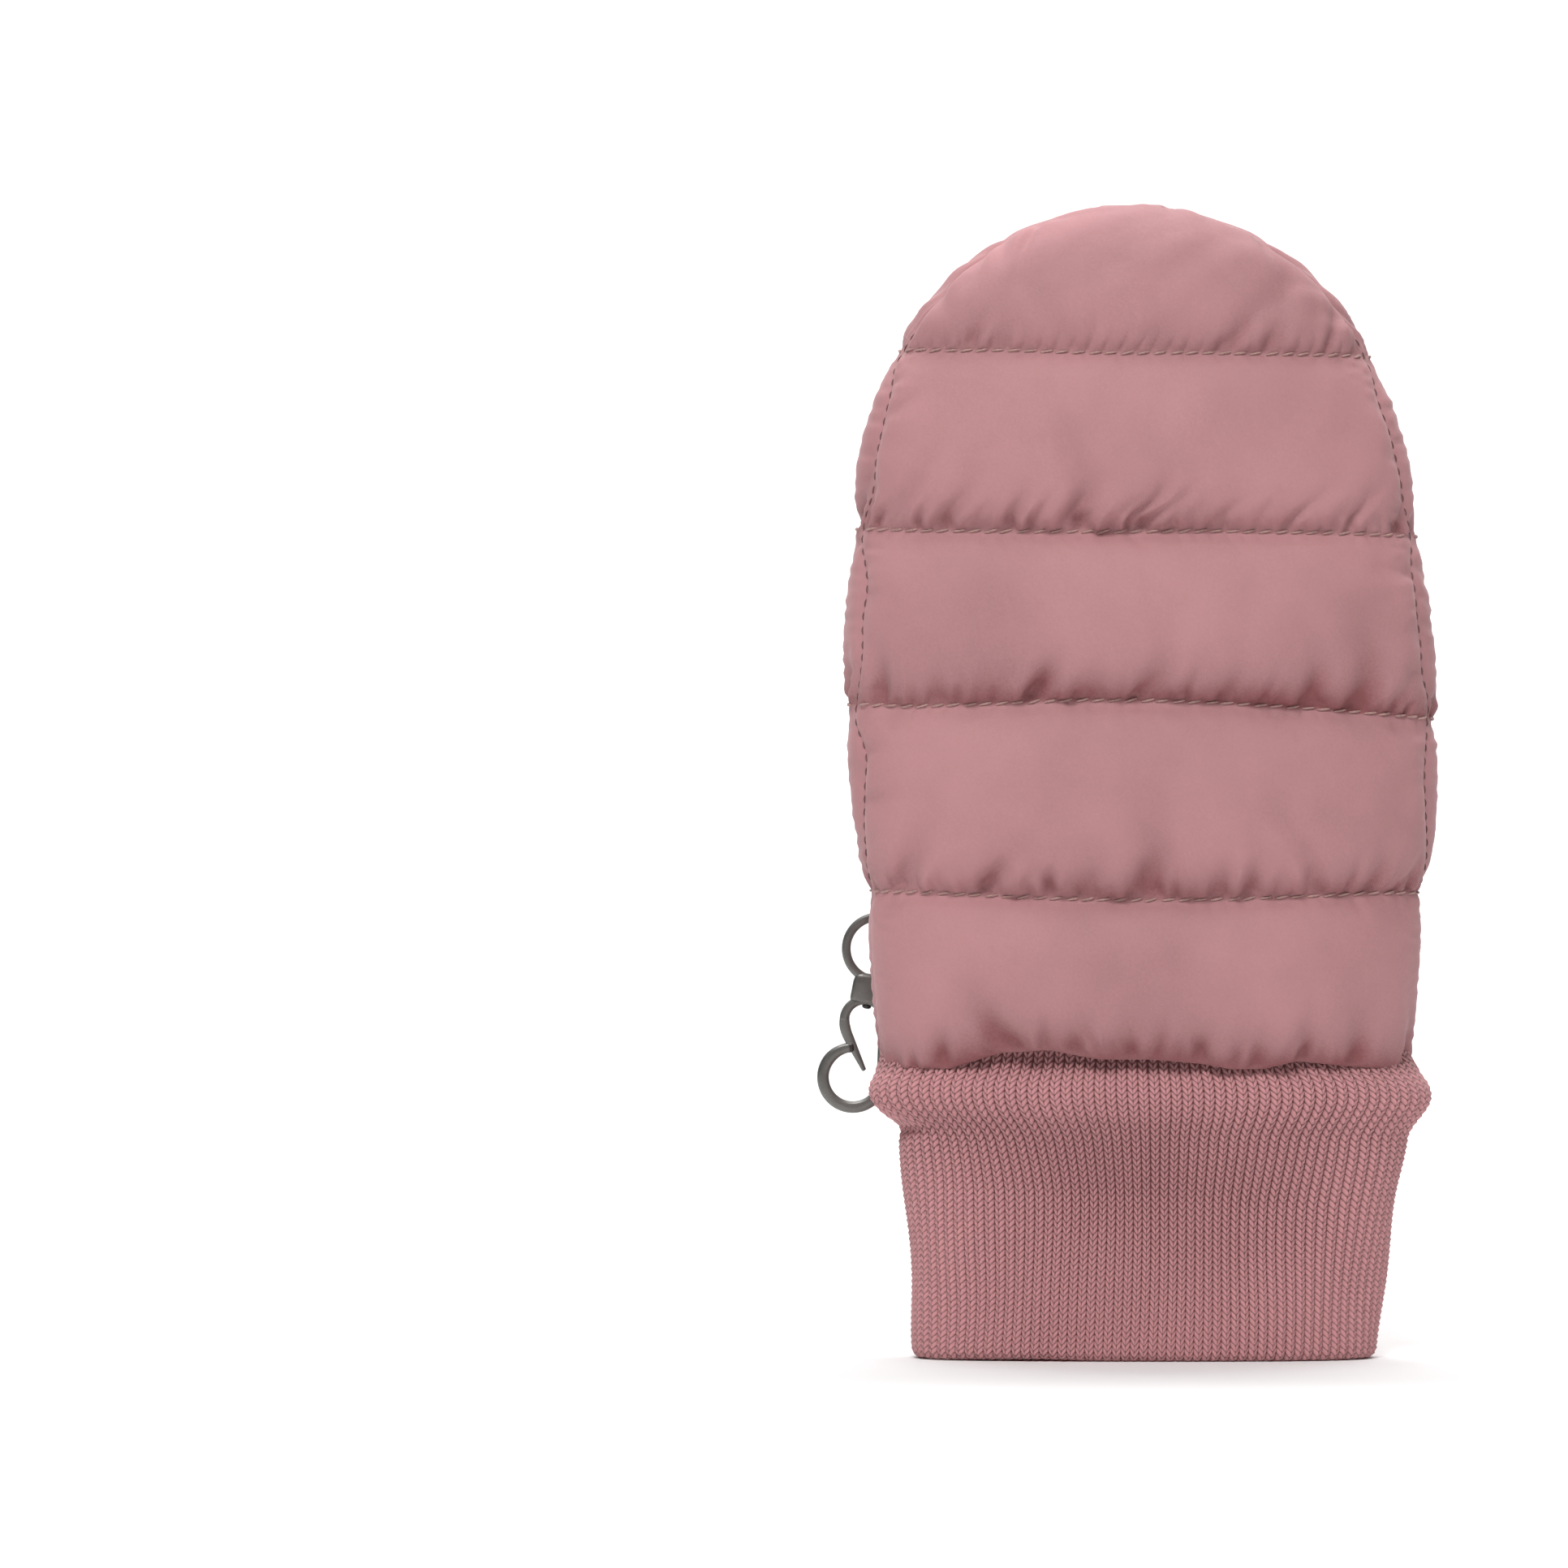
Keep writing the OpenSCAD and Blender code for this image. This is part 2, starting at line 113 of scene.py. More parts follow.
def smooth_noise(x, seed, pitch):
    """A smooth random curve over x with bumps about pitch long, from -1 to 1."""
    rng = np.random.default_rng(seed)
    total = np.zeros_like(x, dtype=float)
    for octave, weight in enumerate((1.0, 0.6, 0.4)):
        length = pitch * 2.0 / (1.7 ** octave)
        total += weight * np.sin(2 * np.pi * (x / length + rng.random()))
    return total / 2.0


# ---- The hand's surface, the same one as in the CAD model ----
def rise(z):
    return clamp((z - DOME_Z) / DOME_H)


def half_w(z, d):
    swell = np.sin(np.pi * clamp((z - CUFF_L) / BELLY_L)) ** 2
    side_w = (WRIST_W + (HAND_W - WRIST_W) * swell) / 2
    return (side_w - d) * np.maximum(0.12, np.sqrt(1 - rise(z) ** 2))


def thinning(z):
    share = clamp((z - THIN_Z) / (MITTEN_L - THIN_Z)) ** THIN_POWER
    return np.maximum(0.02, (1 - share) ** (1 / THIN_POWER))


def hand_point(z, a, d):
    """Points on the hand at height z and angle a, d below its outer fabric."""
    c, s = np.cos(np.radians(a)), np.sin(np.radians(a))
    thick = np.where(s < 0, BACK_T, PALM_T)
    x = TIP_SHIFT * clamp((z - 100) / 90) + half_w(z, d) * signed_pow(c, ROUNDNESS)
    y = (thick - d) * thinning(z) * signed_pow(s, ROUNDNESS)
    return join(x, y, z - d * rise(z))


def angle_table(low, high):
    """Section angles against their share of the way round, from one side seam to the other."""
    a = np.linspace(low, high, 400)
    along = length_along(hand_point(np.full_like(a, 127.0), a, 0.0))
    return along / along[-1], a


# Each panel's table, for the back and for the palm.
ANGLES = [angle_table(180 + SEAM_ANGLE, 360 - SEAM_ANGLE), angle_table(180 + SEAM_ANGLE, -SEAM_ANGLE)]
# Heights from the hem to the tip, and the length t up the middle of the back at each of them.
HEIGHTS = MITTEN_L - (MITTEN_L - HEM_Z) * np.linspace(1, 0, 600) ** 2.2
UP = length_along(hand_point(HEIGHTS, np.full_like(HEIGHTS, 270.0), 0.0))


def z_of(t):
    return np.interp(t, UP, HEIGHTS)


def t_of(z):
    return np.interp(z, HEIGHTS, UP)


def calm_tip(t):
    """1 over the hand, falling towards 0 where the two panels meet over the tip."""
    return 1 - 0.85 * ease((t - t_of(212.0)) / (UP[-1] - t_of(212.0)))


def seam_angle(z, seed):
    """How far round on the back a side seam lies: it is drawn outwards at each quilting line."""
    drawn = sum(bell(z, line, 5.5) for line in QUILT_Z[1:])
    base = 3.0 + 16.0 * ease((z - 84) / 34)
    return base * (1 - 0.5 * drawn) + 1.6 * smooth_noise(z, seed, 15.0) * ease((z - 90) / 20)


def panel_angle(side, share, z):
    """Section angle at a share of a panel's width, between its two side seams."""
    a = np.interp(share, *ANGLES[side])
    low, high = ANGLES[side][1][0], ANGLES[side][1][-1]
    left, right = 180 + seam_angle(z, 71), -seam_angle(z, 72)
    right = right + (360 if side == BACK else 0)
    return left + (a - low) / (high - low) * (right - left)


def hand_surface(side, share, t, depth):
    share, t = np.broadcast_arrays(share, t)
    z = z_of(t)
    return hand_point(z, panel_angle(side, share, z), depth)


# ---- The hand's two quilted panels ----
GROOVE, SIDE_GROOVE = 4.0, 0.5
# Share of a channel's height at which it is fullest.
CROWN = 0.50
# Columns across a panel, and rows up each of its channels.
HAND_COLUMNS, HAND_ROWS = 160, 27
CORNER_Z = 207.0
# Height of each quilting line above its mean, at even steps from the left side seam to the right.
BACK_WAVES = [
    [1.6, -1.8, 0.1, 3.1, 3.7, 1.9, 1.9, 1.1, -0.6, 1.5, 0.5, -0.2, 1.4],
    [1.1, 0.9, 0.2, -0.4, -0.6, -0.4, 0.1, 0.8, 0.6],
    [1.8, 1.2, 1.7, 2.4, 2.4, 1.9, 1.0, -0.1, -1.2],
    [1.2, 0.6, 0.4, 0.3, 0.3, 0.4, 0.2, 0.0, -0.4],
    [1.5, 1.5, 1.7, 1.4, 1.2, 1.3, 1.0, 0.7, 0.2],
]


def hand_wave(side, k, u):
    values = BACK_WAVES[k]
    wave = np.interp(u, np.linspace(0, 1, len(values)), values)
    if side == PALM:
        ends = wave[0] + (wave[-1] - wave[0]) * u
        wave = ends + 0.9 * np.sin(np.pi * u) * smooth_noise(u * 150, 31 + k, 55.0)
    return wave


def channel_amount(s):
    """Share of the groove's depth at a share s of a channel's height. The wadding hangs, so the
    channel curls under sharply at its foot and slopes in gently towards the seam above."""
    if s < CROWN:
        return ((CROWN - s) / CROWN) ** 3.0
    return ((s - CROWN) / (1 - CROWN)) ** 2.2


def hand_depth(side, share, t, amount):
    """How far the stitching draws the fabric in: least at the sides, the hem and the tip."""
    across = np.abs(np.sin(np.radians(panel_angle(side, share, z_of(t)))))
    line = SIDE_GROOVE + (GROOVE - SIDE_GROOVE) * across ** 1.3
    wrist = 1.0 * bell(t, t_of(QUILT_Z[1]), 9.0) * (1 - across)
    shallower = 1 - 0.08 * (t < t_of(HEM_Z + 14)) - 0.45 * ease((t - t_of(182.0)) / 12.0)
    seam = 0.5 * bell(np.minimum(share, 1 - share), 0, 0.012) * (1 - ease((t - t_of(216.0)) / 6.0))
    return line * amount * shallower + seam + wrist * amount


class Hand:
    """A grid on each panel whose rows follow t, from the hem to the seam over the tip, where the
    two grids share their points, as they do at the side seams."""

    def __init__(self):
        self.lines = [t_of(z) for z in QUILT_Z]
        self.corner, self.top = t_of(CORNER_Z), UP[-1]
        self.tables = {}

    def girth(self, side, t):
        """The panel's width at t, measured round the surface."""
        if side not in self.tables:
            ts = np.linspace(self.lines[0], self.top, 90)
            grid = hand_surface(side, np.linspace(0, 1, 40)[None, :], ts[:, None], 0.0)
            self.tables[side] = (ts, np.linalg.norm(np.diff(grid, axis=1), axis=2).sum(1))
        return np.interp(t, *self.tables[side])

    def seam_over_tip(self):
        """share and t at the columns' upper ends, evenly spaced along the seam over the tip."""
        t = np.linspace(self.corner, self.top, 80)
        flat = np.linspace(0, 1, 12)[1:-1]
        share = np.concatenate([0 * t, flat, 0 * t + 1])
        height = np.concatenate([t, 0 * flat + self.top, t[::-1]])
        at = (hand_surface(BACK, share, height, 0.0) + hand_surface(PALM, share, height, 0.0)) / 2
        along = length_along(at)
        even = np.linspace(0, along[-1], HAND_COLUMNS + 1)
        return np.interp(even, along, share), np.interp(even, along, height)

    def panel(self, side):
        """share, t and quilting amount over one panel's grid, rows first."""
        u, steps = np.linspace(0, 1, HAND_COLUMNS + 1), np.linspace(0, 1, HAND_ROWS + 1)
        rows, self.line_rows = [], [0]
        for k in range(len(self.lines) - 1):
            low = self.lines[k] + hand_wave(side, k, u)
            high = self.lines[k + 1] + hand_wave(side, k + 1, u)
            rows += [(u, low + s * (high - low), np.full_like(u, channel_amount(s)))
                     for s in steps[1 if k else 0:]]
            self.line_rows.append(len(rows) - 1)
        share_top, t_top = self.seam_over_tip()
        low = rows[-1][1]
        bottom = join((u - 0.5) * self.girth(side, low), low)
        top = join((share_top - 0.5) * self.girth(side, t_top), t_top)
        sides = []
        for end, sign in ((0, -0.5), (-1, 0.5)):
            edge = bottom[end, 1] + steps * (self.corner - bottom[end, 1])
            sides.append(join(sign * self.girth(side, edge), edge))
        uu = u[:, None]
        for s, left, right in list(zip(steps, *sides))[1:]:
            flat = ((1 - s) * bottom + s * top + (1 - uu) * left + uu * right
                    - (1 - uu) * ((1 - s) * bottom[0] + s * top[0])
                    - uu * ((1 - s) * bottom[-1] + s * top[-1]))
            t = np.minimum(flat[:, 1], self.top)
            share = clamp(flat[:, 0] / self.girth(side, t) + 0.5)
            rows.append((share, t, np.full_like(u, max(0, 1 - 2 * s) ** 3)))
        rows[-1] = (share_top, t_top, rows[-1][2])
        return [np.array(values) for values in zip(*rows)]

    def build(self):
        """All points, each panel's grid of point numbers, and its share, t and amount."""
        data = [self.panel(BACK), self.panel(PALM)]
        both = [hand_surface(side, share, t, hand_depth(side, share, t, amount))
                for side, (share, t, amount) in enumerate(data)]
        shared = np.zeros(data[BACK][0].shape, bool)
        shared[:, 0] = shared[:, -1] = shared[-1, :] = True
        ids = np.zeros((2, *shared.shape), int)
        ids[:, shared] = np.arange(shared.sum())
        points = [((both[BACK] + both[PALM]) / 2)[shared]]
        for side in (BACK, PALM):
            ids[side][~shared] = sum(map(len, points)) + np.arange((~shared).sum())
            points.append(both[side][~shared])
        return np.concatenate(points), ids, data


# ---- Cloth: a net of threads held to the lengths the fabric was cut to, pressed out by wadding ----
def neighbours(ids, wrap, di, dj):
    """Pairs of point numbers di rows and dj columns apart, in two groups without shared points."""
    rows, cols = ids.shape
    i, j = np.meshgrid(np.arange(rows - di), np.arange(cols), indexing="ij")
    keep = np.ones_like(i, bool) if wrap else (j + dj >= 0) & (j + dj < cols)
    i, j = i[keep], j[keep]
    a, b = ids[i, j], ids[i + di, (j + dj) % cols]
    odd = ((i // di) if di else (j // dj)) % 2
    return [(a[(odd == k) & (a != b)], b[(odd == k) & (a != b)]) for k in (0, 1)]


def grid_normals(points, grids, flips):
    """Outward unit normals of the points of grids that share some of their points."""
    total = np.zeros_like(points)
    for (ids, wrap), flip in zip(grids, flips):
        p = points[ids]
        along = np.roll(p, -1, axis=1) - np.roll(p, 1, axis=1) if wrap else np.gradient(p, axis=1)
        across = np.cross(along, np.gradient(p, axis=0)) * flip
        np.add.at(total, ids.ravel(), across.reshape(-1, 3))
    return unit(total)


def drape(points, cut, grids, flips, pins, spare, press, limit, rounds, seed, ease_out=1.0):
    """Where pinned fabric comes to rest. cut holds the points of the unstitched fabric, spare
    how much longer it was cut across and along, press the wadding's push in mm a round, and
    limit how far the fabric may sink, rise and slip from where it starts."""
    rng = np.random.default_rng(seed)
    links = []
    for ids, wrap in grids:
        for (di, dj), stiff in (((0, 1), 0.9), ((1, 0), 0.9), ((1, 1), 0.12), ((1, -1), 0.12)):
            longer = 1 + spare[0] * (di == 0) + spare[1] * (dj == 0)
            longer += (spare[0] + spare[1]) / 2 * (di == 1 and dj != 0)
            source = cut if di == 0 else points
            links += [(a, b, np.linalg.norm(source[a] - source[b], axis=1) * longer, stiff, False)
                      for a, b in neighbours(ids, wrap, di, dj)]
        for di, dj in ((0, 2), (2, 0)):
            links += [(a, b, np.linalg.norm(points[a] - points[b], axis=1) * 0.93, 0.5, True)
                      for a, b in neighbours(ids, wrap, di, dj)]
    free = (pins < 1).astype(float)
    start_normals = grid_normals(points, grids, flips)
    bumps = rng.normal(size=len(points))
    for a, b in [pair for ids, wrap in grids for pair in neighbours(ids, wrap, 1, 0)] * 3:
        mean = (bumps[a] + bumps[b]) / 2
        bumps[a] += 0.7 * (mean - bumps[a])
        bumps[b] += 0.7 * (mean - bumps[b])
    x = points + start_normals * (bumps * 0.35 * free)[:, None]
    for number in range(rounds):
        if number % 6 == 0:
            normals = grid_normals(x, grids, flips)
        height = ((x - points) * start_normals).sum(axis=1)
        x += normals * (press * (1 - height / limit[1]) * free * ease_out)[:, None]
        for a, b, length, stiff, only_short in links:
            gap = x[b] - x[a]
            now = np.maximum(np.linalg.norm(gap, axis=1), 1e-6)
            off = np.minimum(now - length, 0) if only_short else now - length
            weight = np.maximum(free[a] + free[b], 1e-6)
            move = gap * (stiff * off / now / weight)[:, None]
            x[a] += move * free[a][:, None]
            x[b] -= move * free[b][:, None]
        step = x - points
        height = (step * start_normals).sum(axis=1)
        held = start_normals * np.clip(height, -limit[0], limit[1])[:, None]
        slip = step - start_normals * height[:, None]
        over = np.minimum(1, limit[2] / np.maximum(np.linalg.norm(slip, axis=1), 1e-9))
        x = points + held + slip * over[:, None]
    return x


# ---- Folds and puckers along the stitching, finer than the draped grid ----
STITCH_PITCH = 3.15
# The folds' spacing, their ranges of width, reach and size in millimetres, and how far they lean.
SHORT_FOLDS = (4.0, (0.8, 1.7), (3.0, 7.0), (0.45, 1.44), 0.2)
DEEP_FOLDS = (12.0, (1.4, 2.7), (8.0, 16.0), (0.9, 2.1), 0.40)
FOLDS_ABOVE = (6.0, (0.9, 2.2), (2.0, 5.0), (0.05, 0.3), 0.25)
TIP_FOLDS = (9.0, (1.0, 2.2), (4.0, 12.0), (0.4, 1.4), 0.35)
SIDE_FOLDS = (6.5, (0.9, 2.0), (4.0, 12.0), (0.2, 0.9), 0.3)
SEAM_FOLDS = (8.0, (1.0, 2.2), (4.0, 12.0), (0.3, 1.1), 0.3)
# How much shade is painted into the cloth's colour over the hem and over each quilting line, from the
# lowest up.
CREASE_SHADE_STRENGTHS = [1.0, 0.65, 1.0, 0.55, 0.30]


class Folds:
    """Short folds that run away from a row of stitches of length span, from a fixed seed."""

    def __init__(self, seed, span, spacing, width, reach, size, lean):
        rng = np.random.default_rng(seed)
        count = int(span / spacing)
        self.at = (np.arange(count) + 0.5 + rng.uniform(-0.42, 0.42, count)) * span / count
        self.width = rng.uniform(*width, count)
        self.reach = rng.uniform(*reach, count)
        self.size = rng.uniform(*size, count) * (0.35 + 0.65 * (rng.random(count) > 0.35))
        self.lean = rng.normal(0, lean, count)

    def height(self, along, away):
        """How far the folds lift the fabric at a place along the row and away from it."""
        away = np.maximum(away, 0)
        total = np.zeros(np.broadcast(along, away).shape)
        for at, width, reach, size, lean in zip(self.at, self.width, self.reach, self.size,
                                                self.lean):
            x = (along - at - lean * away) / (width * (1 + 0.05 * away))
            fade = (1 - np.exp(-away / 1.1)) * np.exp(-(away / reach) ** 1.7)
            total += size * fade * (0.30 * np.exp(-(np.abs(x) - 1.9) ** 2) - np.exp(-x * x))
        return total


def finer(grid):
    """The same grid with a new point between every two, on smooth curves through the old ones."""
    for axis in (0, 1):
        g = np.moveaxis(grid, axis, 0)
        ext = np.concatenate([2 * g[:1] - g[1:2], g, 2 * g[-1:] - g[-2:-1]])
        made = np.empty((2 * len(g) - 1, *g.shape[1:]))
        made[0::2] = g
        made[1::2] = (9 * (ext[1:-2] + ext[2:-1]) - ext[:-3] - ext[3:]) / 16
        grid = np.moveaxis(made, 0, axis)
    return grid


def puckers(row, away, reach, size):
    """Height of the little pinches at the holes of a row of stitches."""
    along = length_along(row)
    along -= along[4]
    hole = np.abs((along / STITCH_PITCH + 0.5) % 1.0 - 0.5) * STITCH_PITCH
    swell = 0.35 * bell(hole, STITCH_PITCH / 2, 0.8) - bell(hole, 0, 0.55)
    away = np.maximum(away, 0)
    return size * swell * (1 - np.exp(-away / 0.5)) * np.exp(-(away / reach) ** 1.5)


def hand_folds(hand, side, share, t, amount, grid, rows):
    """Height of the folds and puckers over one panel's finer grid; rows are its quilting lines."""
    girth = hand.girth(side, t)
    along = share * girth
    total = np.zeros_like(t)
    seed = 40 + 20 * side
    for k, (row, top) in enumerate(zip(rows, rows[1:])):
        band = slice(row, top + 1)
        up, down, span = t[band] - t[row], t[top] - t[band], girth[row, 0]
        total[band] += Folds(seed + k, span, *SHORT_FOLDS).height(along[band], up)
        total[band] += Folds(seed + 5 + k, span, *DEEP_FOLDS).height(along[band], up)
        total[band] += Folds(seed + 9 + k, span, *FOLDS_ABOVE).height(along[band], down)
        uneven = 0.75 + 0.5 * smooth_noise(along[band], seed + 11 + k, 17.0)
        if row:
            total[band] += puckers(grid[row], up, 2.2, 0.55) * uneven
        total[band] += puckers(grid[top], down, 1.5, 0.32) * uneven
    last = rows[-1]
    tip, up, span = slice(last, None), t[last:] - t[last], girth[last, 0]
    centred = (share[tip] - 0.5) * girth[tip] + span / 2
    total[tip] += Folds(seed + 13, span, *TIP_FOLDS).height(centred, up)
    total[tip] += puckers(grid[last], up, 2.2, 0.45)
    total *= calm_tip(t)
    for seam, away in enumerate((along, girth - along)):
        folds = Folds(seed + 15 + seam, t.max(), *SIDE_FOLDS)
        total += folds.height(t, away) * 0.8 * ease((t - t_of(86.0)) / 10)
    seam = length_along(grid[-1])
    total[tip] += Folds(seed + 18, seam[-1], *SEAM_FOLDS).height(seam[None, :], t[-1] - t[tip])
    slow = (0.35 * smooth_noise(along + 0.35 * t, seed + 3, 31.0)
            + 0.3 * smooth_noise(along - 0.5 * t, seed + 4, 19.0))
    to_side = np.minimum(along, girth - along)
    total += slow * (1 - np.abs(amount)) * calm_tip(t) * ease(to_side / 12)
    edge = np.minimum(to_side, t[-1] - t)
    return total * (1 - np.exp(-np.maximum(edge, 0) / 0.8))


def crease_shade(t, rows, lift):
    """Shade painted into the fabric's colour, 0 to 1.2: over each row of stitches, a little below it, and
    in the folds' dimples.
    """
    total = np.zeros_like(t)
    for row, top, deep in zip(rows, rows[1:] + [len(t) - 1], CREASE_SHADE_STRENGTHS):
        up = np.maximum(t[row:top + 1] - t[row], 0)
        total[row:top + 1] = deep * np.exp(-(up / 5.6) ** 1.5)
    for row in rows[1:]:
        total[:row] += 0.1 * bell(np.maximum(t[row] - t[:row], 0), 0, 0.6)
    return np.clip(total + 0.35 * np.clip(-lift, 0, 1.6), 0, 1.2)


def drape_hand():
    """The relaxed hand: its points, each panel's point numbers and data, and the normals."""
    hand = Hand()
    points, ids, data = hand.build()
    cut, pins, ease_out = points.copy(), np.zeros(len(points)), np.ones(len(points))
    for side in (BACK, PALM):
        for row in hand.line_rows:
            pins[ids[side][row]] = 1.0
        pins[ids[side][:, 0]] = pins[ids[side][:, -1]] = pins[ids[side][-1]] = 1.0
    for side in (PALM, BACK):
        share, t, amount = data[side]
        cut[ids[side]] = hand_surface(side, share, t, 0.0)
        across = np.abs(np.sin(np.radians(panel_angle(side, share, z_of(t)))))
        out_at = (0.12 + 0.88 * ease((across - 0.25) / 0.6)) * (1 - amount) ** 1.5
        ease_out[ids[side]] = out_at * calm_tip(t)
    pins[ids[PALM][gusset_share(points[ids[PALM]]) < 1.25]] = 1.0
    grids, flips = [(ids[BACK], False), (ids[PALM], False)], (1, -1)
    out = drape(points, cut, grids, flips, pins, spare=(0.006, 0.03), press=0.055,
                limit=(1.2, 2.0, 2.0), rounds=120, seed=5, ease_out=ease_out)
    for side in (BACK, PALM):
        free = (pins[ids[side]] == 0)[..., None]
        for _ in range(3):
            g = out[ids[side]]
            even = g.copy()
            even[:, 1:-1] = (g[:, :-2] + 2 * g[:, 1:-1] + g[:, 2:]) / 4
            out[ids[side]] = np.where(free, even, g)
    return hand, out, ids, data, grid_normals(out, grids, flips)


# ---- The thumb: a sleeve that leaves the palm at a right angle and bends up along it ----
THUMB_AT = np.array([-27.46, 18.6, 109.0])
THUMB_LEAN = math.radians(10)
THUMB_REACH, THUMB_DOME, BEND_R, THUMB_BASE_R = 22.0, 17.0, 14.0, 13.4
THUMB_HALF_W, THUMB_HALF_T = 15.5, 12.5
BEND_L, DOME_L = BEND_R * math.pi / 2, THUMB_DOME * 1.35
THUMB_LEN = BEND_L + THUMB_REACH + DOME_L
THUMB_COLUMNS, THUMB_ROWS = 72, 60
THUMB_SEAMS = [0, THUMB_COLUMNS // 2]
# The opening in the palm: its half angle and half height, its corners, and the thumb's angle.
GUSSET_A, GUSSET_Z, GUSSET_CORNER, THUMB_A = 16.5, 17.0, 0.55, 113.25


def palm_across():
    """The palm's x at each degree of its section, at the height of the thumb."""
    return hand_point(np.full(181, THUMB_AT[2]), np.linspace(0, 180, 181), 0.0)[:, 0]


def gusset_share(p):
    """How far out points of the palm lie in the thumb's squarish opening, 1 at its edge."""
    z = (p[..., 2] - THUMB_AT[2]) / GUSSET_Z
    a = np.interp(p[..., 0], palm_across()[::-1], np.linspace(180, 0, 181))
    turn = (a - THUMB_A) / GUSSET_A
    power = 2 / GUSSET_CORNER
    return (np.abs(z) ** power + np.abs(turn) ** power) ** (1 / power)


def thumb_point(a, along, d):
    """Points on the sleeve at angle a, along in mm from its base, d below its fabric."""
    bend = np.clip(along / BEND_L, 0, 1) * 90
    lift = np.clip(along - BEND_L, 0, THUMB_REACH)
    dome = np.clip(along - BEND_L - THUMB_REACH, 0, None)
    s = np.sin(clamp(dome / DOME_L) * np.pi / 2)
    share = np.sqrt(np.maximum(1 - s * s, 0.0006))
    grow = ease(bend / 90)
    half_w_ = THUMB_BASE_R + (THUMB_HALF_W - THUMB_BASE_R) * grow - d
    half_t_ = THUMB_BASE_R + (THUMB_HALF_T - THUMB_BASE_R) * grow - d
    c, sn = cos_sin(a, 1 - 0.1 * grow)
    out = BEND_R + half_t_ * share * sn
    top = lift + (THUMB_DOME - d) * s
    x = half_w_ * share * c
    cos_bend, sin_bend = cos_sin(bend)
    z = BEND_R - out * cos_bend + top * sin_bend
    lean_x = x * math.cos(THUMB_LEAN) + z * math.sin(THUMB_LEAN)
    lean_z = -x * math.sin(THUMB_LEAN) + z * math.cos(THUMB_LEAN)
    return join(lean_x, out * sin_bend + top * cos_bend, lean_z) + THUMB_AT


def drape_thumb():
    """The relaxed sleeve: its points, point numbers, angles, lengths, quilted row and normals."""
    along = np.linspace(0, THUMB_LEN, THUMB_ROWS + 1)
    line = int(np.argmin(np.abs(along - BEND_L - 5.0)))
    aa, ll = np.meshgrid(np.arange(THUMB_COLUMNS) * 360.0 / THUMB_COLUMNS, along)
    depth = 0.9 * np.exp(-np.abs(ll / 2.2)) + 3.0 * np.exp(-np.abs(ll - along[line]) / 2.6)
    for seam in (0, 180):
        away = np.abs((aa - seam + 180) % 360 - 180)
        depth += 1.3 * np.exp(-away / 7.0) * ease(ll / 8)
    ids = np.arange(aa.size).reshape(aa.shape)
    points = thumb_point(aa, ll, depth).reshape(-1, 3)
    cut = thumb_point(aa, ll, 0.0).reshape(-1, 3)
    pins = np.zeros(len(points))
    pins[ids[[0, line, -1]].ravel()] = 1
    pins[ids[:, THUMB_SEAMS].ravel()] = 1
    grids = [(ids, True)]
    out = drape(points, cut, grids, (-1,), pins, spare=(0.01, 0.02), press=0.05,
                limit=(1.0, 2.2, 2.0), rounds=90, seed=9)
    for _ in range(6):
        g = out[ids]
        even = g.copy()
        even[1:-1] = (g[:-2] + 2 * g[1:-1] + g[2:]) / 4
        even = (np.roll(even, 1, axis=1) + 2 * even + np.roll(even, -1, axis=1)) / 4
        out[ids] = np.where((pins[ids] == 0)[..., None], even, g)
    round_tip(out, ids)
    return out, ids, aa, ll, line, grid_normals(out, grids, (-1,))


def round_tip(out, ids, rings=6, height=1.1):
    """Closes the sleeve over its last rings of points with a shallow dome."""
    ring = out[ids[-1 - rings]]
    middle = ring.mean(axis=0)
    up = unit(middle - out[ids[-1 - 2 * rings]].mean(axis=0))
    for k in range(1, rings + 1):
        share = 1 - k / rings
        out[ids[-1 - rings + k]] = middle + (ring - middle) * share + up * height * (1 - share ** 2)


# ---- Meshes ----
def mesh_object(name, points, faces, coords=None, subdivide=0):
    """An object from points in millimetres; coords are the points' cloth coordinates."""
    mesh = bpy.data.meshes.new(name)
    points = np.asarray(points, float) * MM
    mesh.from_pydata(points.tolist(), [], [list(map(int, f)) for f in faces])
    mesh.validate()
    if coords is not None:
        layer = mesh.attributes.new("cloth", "FLOAT_VECTOR", "POINT")
        full = np.zeros((len(points), 3))
        full[:, :coords.shape[1]] = coords
        layer.data.foreach_set("vector", full.astype(np.float32).ravel())
    mesh.shade_smooth()
    obj = bpy.data.objects.new(name, mesh)
    bpy.context.scene.collection.objects.link(obj)
    if subdivide:
        modifier = obj.modifiers.new("smooth", "SUBSURF")
        modifier.levels = modifier.render_levels = subdivide
    return obj


def grid_faces(rows, cols, wrap=False, flip=False, start=0):
    """Quads over a grid of rows x cols points, numbered row by row from start."""
    ids = start + np.arange(rows * cols).reshape(rows, cols)
    nxt = np.roll(ids, -1, axis=1) if wrap else ids[:, 1:]
    here = ids if wrap else ids[:, :-1]
    q = np.stack([here[:-1], nxt[:-1], nxt[1:], here[1:]], axis=-1).reshape(-1, 4)
    return q[:, ::-1] if flip else q


def grid_object(name, grid, coords=None, wrap=False, flip=False, subdivide=0, hole=None):
    """An object over a grid of points; hole says which faces to leave out, from their middles."""
    rows, cols = grid.shape[:2]
    points, faces = grid.reshape(-1, 3), grid_faces(rows, cols, wrap, flip)
    flat = None if coords is None else coords.reshape(rows * cols, -1)
    if hole:
        faces = faces[~hole(points[faces].mean(axis=1))]
        used, faces = np.unique(faces, return_inverse=True)
        points, faces = points[used], faces.reshape(-1, 4)
        flat = None if flat is None else flat[used]
    return mesh_object(name, points, faces, flat, subdivide)


